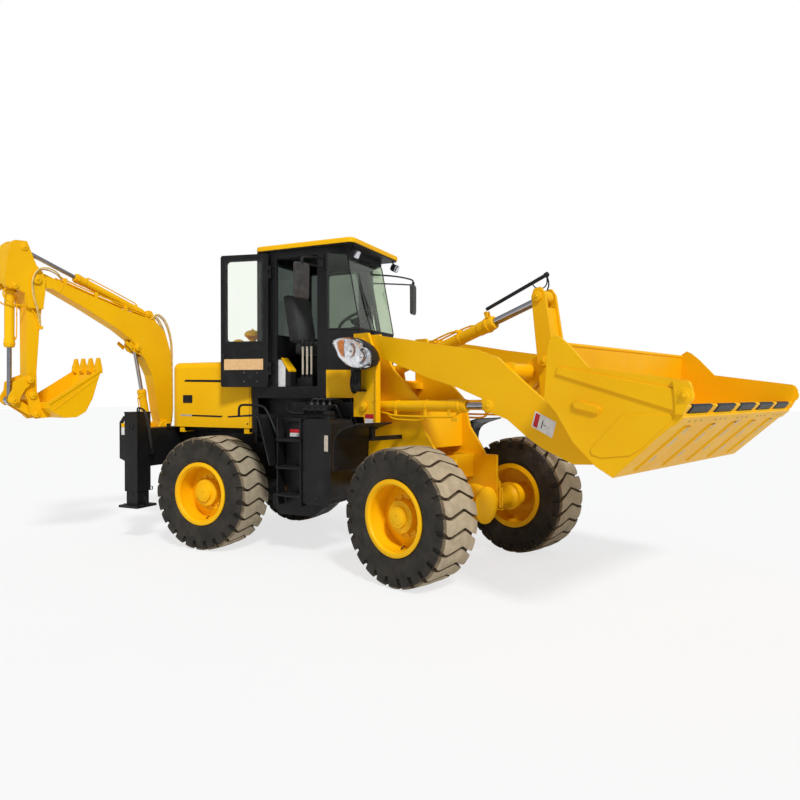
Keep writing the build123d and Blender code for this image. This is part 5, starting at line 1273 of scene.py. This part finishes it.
for side_y in (-48, -14):
    near, far = along_tilt(1146, side_y, 46), along_tilt(1178, side_y, 46)
    tilt_trim.rings(
        [[p + Vector((0, k, 0)) for p in (near, far, far + tilt_up * 58, near + tilt_up * 58)] for k in (0, 10)]
    )
foot = along_tilt(1146, -48, 84)
tilt_block(foot, ((0, 0), (32, 0), (32, 44), (0, 44)), (0, 9))
tilt_trim.pipe(
    [along_tilt(60, -40, 60), along_tilt(150, -70, 120), along_tilt(300, -60, 130), along_tilt(420, -40, 94)], 8,
    10,
)
tilt_trim.done("tilt_cylinder_trim", YELLOW, "tilt_barrel", bevel=0.6)
level = Maker(FRONT)
level.pipe([(1414, -26, 2190), (1991, -26, 2409)], 15, 12, 0)
level.lathe((1974, -26, 2403), (0.935, 0, 0.355), [(0, 21), (26, 21), (30, 15), (30, 0)], 8)
level.pipe([(1860, -26, 2352), (1880, -26, 2318), (1950, -26, 2300), (1992, -26, 2330), (1990, -26, 2400)], 5, 8, 2)
level.pipe([(1990, -26, 2405), (2010, -26, 2330), (1990, -20, 2286)], 6, 8, 1)
level.done("level_indicator", PLASTIC, "tilt_rod")

crank_web = Maker(FRONT)
crank_web.prism([(2011, 2150), (2078, 1740), (2066, 1740), (1999, 2150)], -66.5, 66.5)
crank_web.done("crank_web", YELLOW, "bellcrank", bevel=1)
rod_eye = Maker(FRONT)
rod_eye.lathe(
    (1950, -50.5, 2235), (0, 1, 0), [(0, 30), (0, 51), (3, 54), (98, 54), (101, 51), (101, 30)], 36, closed=True,
)
rod_eye.done("tilt_rod_eye", YELLOW, "tilt_rod")

# ------------------------------------------------------------------ loader bucket
pin_caps("bucket_pin_caps", FRONT, "loader_bucket", [(2720, 1100, 529, 40), (2540, 1390, 80, 36)])
bucket_rows = [
    ([(2686, 1641), (3399, 1499), (3389, 1385), (2673, 1597)], 1048, 1058),
    ([(2774, 1426), (2826, 1447), (2953, 1411), (2961, 1388), (2941, 1359), (2788, 1391)], 1048, 1056),
    ([(2786, 1423), (2828, 1437), (2944, 1405), (2950, 1389), (2934, 1368), (2798, 1397)], 1056, 1064),
    (
        [
            (3086, 1368), (3340, 1372), (3363, 1362), (3355, 1340), (3190, 1180), (3130, 1142), (2964, 1118),
            (2906, 1132), (2892, 1154), (2908, 1180),
        ],
        1048, 1053,
    ),
    (
        [(3360, 1552), (3446, 1540), (3464, 1506), (3452, 1440), (3416, 1372), (3376, 1372), (3372, 1470)], 1048,
        1066,
    ),
]
plates("bucket_side_plates", YELLOW, FRONT, "loader_bucket", sided(bucket_rows), bevel=2)
bucket_trim = Maker(FRONT)
heel, lip = Vector((3028, 0, 1010)), Vector((3410, 0, 1365))
floor_axis = (lip - heel).normalized()
floor_down = Vector((floor_axis.z, 0, -floor_axis.x))
for s in SIDES:
    bucket_trim.lathe(
        (3424, s * 1050, 1470), (0, s, 0), [(0, 46), (14, 46), (18, 40), (18, 24), (26, 22), (26, 0)], 28,
    )
    bucket_trim.bolt((3424, s * 1076, 1470), (0, s, 0), 12)
for i in range(5):
    y = -800 + 400 * i
    near, far = heel + floor_axis * 40, heel + floor_axis * 430
    strip = [
        [p + Vector((0, b, 0)) + floor_down * c for b, c in ((y - 45, -2), (y + 45, -2), (y + 40, 9), (y - 40, 9))]
        for p in (near, far)
    ]
    bucket_trim.rings(strip)
for i in range(12):
    at = heel + floor_axis * 470 + Vector((0, -935 + 170 * i, 0))
    bucket_trim.bolt(at, floor_down, 11)
edge = [
    [
        heel + floor_axis * d + floor_down * c + Vector((0, y, 0))
        for d, c in ((440, -2), (520, -2), (516, 8), (446, 8))
    ]
    for y in (-1046, 1046)
]
bucket_trim.rings(edge)
for x, z in ((2604, 1500), (2610, 1640)):
    bucket_trim.box((x - 10, x + 4), (-900, 900), (z - 18, z + 18))
bucket_trim.pipe([(2620, -1040, 1786), (2620, 1040, 1786)], 14, 12, 0)
for i in range(7):
    y = -900 + 300 * i
    if abs(y) > 560:
        bucket_trim.prism([(2600, 1600), (2560, 1500), (2588, 1452), (2668, 1370), (2604, 1640)], y - 8, y + 8)
bucket_trim.done("bucket_trim", YELLOW, "loader_bucket", bevel=1.2)
# Pale steel-grey patches on the floor's wear strips: bare steel from wear, and painted highlights standing for
# glints off the strips.
wear_glints = Maker(FRONT)
for i in range(5):
    for d, long in ((150, 34), (300, 46), (400, 30)):
        at = heel + floor_axis * (d + 16 * (i % 3)) + Vector((0, -800 + 400 * i + 12, 0))
        patch = [
            (-long, -9), (-long * 0.5, -13), (long * 0.6, -12), (long, -4), (long * 0.7, 10), (-long * 0.6, 12),
        ]
        wear_glints.rings(
            [[at + floor_axis * a + Vector((0, b, 0)) + floor_down * c for a, b in patch] for c in (8, 10.5)]
        )
wear_glints.done("bucket_wear_glint_marks", SILVER, "loader_bucket", bevel=1.5)
teeth, segments, bolts = Maker(FRONT), Maker(FRONT), Maker(FRONT)
normal = Vector((-floor_axis.z, 0, floor_axis.x))
TOOTH_WIDTH, TOOTH_STEP, TOOTH_FIRST = 84, 403.2, -1006


def lip_point(along, height, y):
    return lip + floor_axis * along + normal * height + Vector((0, y, 0))


for i in range(6):
    y = TOOTH_FIRST + TOOTH_STEP * i
    half = TOOTH_WIDTH / 2
    shape = [
        (-200, 18, 1.0), (-160, 66, 0.86), (-60, 74, 0.86), (30, 56, 0.74), (50, 34, 0.66), (50, 22, 0.66),
        (-20, 15, 1.0),
    ]
    teeth.rings([[lip_point(a, h, y + side * half * k) for a, h, k in shape] for side in (-1, 1)])
    for d in (-140, -96):
        bolts.bolt(lip_point(d, 73, y), normal, 13)
    if i < 5:
        start, stop = y + half + 14, y + TOOTH_STEP - half - 14
        plate = [(-86, 15), (-86, 40), (18, 46), (48, 40), (50, 22), (20, 15)]
        segments.rings([[lip_point(a, h, at) for a, h in plate] for at in (start, stop)])
        for k in (0.2, 0.5, 0.8):
            bolts.bolt(lip_point(-40, 43, start + (stop - start) * k), normal, 12)
            bolts.bolt(lip_point(-40, -1, start + (stop - start) * k), -normal, 10)
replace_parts(teeth.done("bucket_teeth", YELLOW, "loader_bucket", bevel=3), "loader_bucket_teeth")
segments.done("bucket_edge_segments", DARK_STEEL, "loader_bucket", bevel=2)
bolts.done("tooth_bolts", DARK_STEEL, "loader_bucket")

# ------------------------------------------------------------------ backhoe
pin_caps("post_pin_caps", HOE, "swing_post", [(130, 1120, 113, 44), (290, 1000, 101, 36)])
pin_caps("boom_pin_caps", HOE, "boom", [(340, 2362, 60, 30), (480, 1990, 70, 40)])
pin_caps(
    "dipper_pin_caps", HOE, "dipper",
    [(1590, 2565, 103, 46), (1652, 1615, 95, 34), (1790, 2480, 98, 32), (1700, 2850, 93, 36)],
)
pin_caps("hoe_bucket_pin_caps", HOE, "backhoe_bucket", [(1627, 1468, 92, 36), (1595, 1291, 92, 34)])
pin_caps("rocker_pin_caps", HOE, "rocker_link", [(1797, 1424, 86, 34)])
upright_caps = Maker(REAR)
upright_caps.lathe((-2620, 0, 1050), (0, 0, 1), [(0, 46), (8, 46), (12, 40), (12, 0)], 28)
upright_caps.bolt((-2620, 0, 1062), (0, 0, 1), 13)
upright_caps.lathe((0, 0, 1004), (0, 0, 1), [(0, 50), (8, 50), (12, 44), (12, 0)], 28)
upright_caps.bolt((0, 0, 1016), (0, 0, 1), 14)
upright_caps.done("upright_pin_caps", BLACK, "machine", bevel=0.6)

boom_lines = Maker(HOE)
for s in SIDES:
    for k in (0, 22):
        y = s * 50
        boom_lines.pipe(
            [
                (289, y, 2306 + k * 0.5), (360, y, 2345 + k), (614, y, 2398 + k), (1000, y, 2500 + k),
                (1280, y, 2582 + k), (1330, y, 2606 + k),
            ],
            8, 10, 2,
        )
    for x, z in ((620, 2384), (960, 2474), (1290, 2568)):
        boom_lines.box((x - 14, x + 14), sorted((s * 38, s * 72)), (z - 10, z + 52))
    boom_lines.prism([(1338, 2476), (1352, 2480), (1322, 2572), (1308, 2568)], s * 70, s * 73)
    boom_lines.prism([(566, 1960), (640, 2020), (620, 2050), (540, 1996)], s * 68, s * 76)
boom_lines.done("boom_lines", YELLOW, "boom", bevel=0.8)
elbow = Maker(HOE)
for i, y in enumerate((-60, -38, 38, 60)):
    rise = 10 * (i % 2)
    elbow.pipe(
        [
            (300, y, 2312), (236, y, 2376 + rise), (140, y, 2340 + rise), (70, y, 2230 + rise),
            (26, y * 0.9, 2080), (16, y * 0.8, 1980),
        ],
        7.5, 10,
    )
elbow.done("boom_hoses", SPRAYED_WITH_GLARE, "boom")
drop = Maker(HOE)
for y in (24, 46):
    for s in SIDES:
        drop.pipe(
            [
                (16, s * y, 1984), (14, s * y, 1700), (12, s * y, 1400), (16, s * y, 1260), (34, s * y, 1130),
                (66, s * y, 1088), (96, s * y, 1050),
            ],
            9, 10,
        )
post_hoses = drop.done("post_hoses", SPRAYED_WITH_GLARE, None)


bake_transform(post_hoses)
loops = Maker(HOE)
for s in SIDES:
    for i in range(2):
        y = s * (106 + 16 * i)
        out = 16 * i
        path = [
            (1325, s * 52, 2606), (1400, y, 2640 + out), (1500, y, 2672 + out), (1590, y, 2650 + out),
            (1632 + out, y, 2560),
        ]
        path += [(1628 + out, y, 2420), (1590 + out, y, 2300), (1552 + out, s * 92, 2190), (1548, s * 76, 2120)]
        loops.pipe(path, 7, 10)
loop_piece = loops.done("elbow_hoses", SPRAYED_WITH_GLARE, None)
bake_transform(loop_piece)
dipper_trim = Maker(HOE)
for s in SIDES:
    dipper_trim.box((1532, 1562), sorted((s * 58, s * 100)), (2096, 2126))
    dipper_trim.pipe(
        [
            (1835, s * 52, 2452), (1884, s * 58, 2420), (1868, s * 66, 2346), (1780, s * 70, 2298),
            (1660, s * 72, 2312), (1592, s * 76, 2240), (1556, s * 78, 2120),
        ],
        7, 10,
    )
    dipper_trim.prism([(1676, 2300), (1690, 2300), (1700, 2420), (1686, 2416)], s * 93, s * 95)
    dipper_trim.prism([(1512, 2300), (1534, 2286), (1664, 2286), (1664, 2296)], s * 62, s * 92)
dipper_trim.done("dipper_trim", YELLOW, "dipper", bevel=0.8)


def cylinder_trim(name, body, base, eye, length, radius, port_side):
    """Gland, ports and pipe of a small cylinder."""
    maker = Maker(HOE)
    start = Vector((base[0], 0, base[1]))
    axis = (Vector((eye[0], 0, eye[1])) - start).normalized()
    up = Vector((-axis.z, 0, axis.x)) * port_side
    end = start + axis * length
    maker.lathe(
        end, axis, [(-30, radius * 1.1), (-30, radius * 1.2), (-18, radius * 1.2), (-18, radius * 1.1)], 28,
        closed=True,
    )
    maker.lathe(end, axis, [(0, 22), (0, radius), (8, radius), (12, radius * 0.8), (12, 22)], 28, closed=True)
    for at in (0.16, 0.86):
        maker.lathe(start + axis * length * at + up * (radius - 4), up, [(0, 14), (16, 14), (18, 10), (24, 10)], 12)
    near = start + axis * length * 0.16 + up * (radius + 16)
    far = start + axis * length * 0.86 + up * (radius + 16)
    maker.pipe([near, near + up * 8 + axis * 20, far + up * 8 - axis * 20, far], 6, 8)
    maker.done(name, YELLOW, body, bevel=0.6)


cylinder_trim("boom_cylinder_trim", "boom_barrel", (290, 1000), (480, 1990), 530, 42, -1)
cylinder_trim("dipper_cylinder_trim", "dipper_barrel", (340, 2362), (1700, 2850), 860, 42, 1)
cylinder_trim("curl_cylinder_trim", "curl_barrel", (1790, 2480), (1797, 1424), 557, 42, -1)

hoe_bucket = Maker(HOE)
for s in SIDES:
    crease = [(1500, 1334), (1494, 1328), (1079, 1617), (1083, 1628)]
    hoe_bucket.prism(crease, s * 219, s * 223)
    hoe_bucket.prism(
        [(1556, 1398), (1540, 1378), (1064, 1676), (1010, 1722), (1004, 1738), (1070, 1706)], s * 219, s * 226,
    )
for i in range(4):
    y = -220 + i * 130 + 25
    hoe_bucket.rings([
        [(1000, y - 30, 1690), (1058, y - 30, 1700), (1058, y + 30, 1700), (1000, y + 30, 1690)],
        [(1004, y - 30, 1752), (1060, y - 30, 1756), (1060, y + 30, 1756), (1004, y + 30, 1752)],
        [(1016, y - 24, 1786), (1052, y - 24, 1788), (1052, y + 24, 1788), (1016, y + 24, 1786)],
    ])
    hoe_bucket.bolt((1030, y - 30, 1732), (0, -1, 0), 7)
hoe_bucket.done("hoe_bucket_trim", YELLOW, "backhoe_bucket", bevel=1.5)
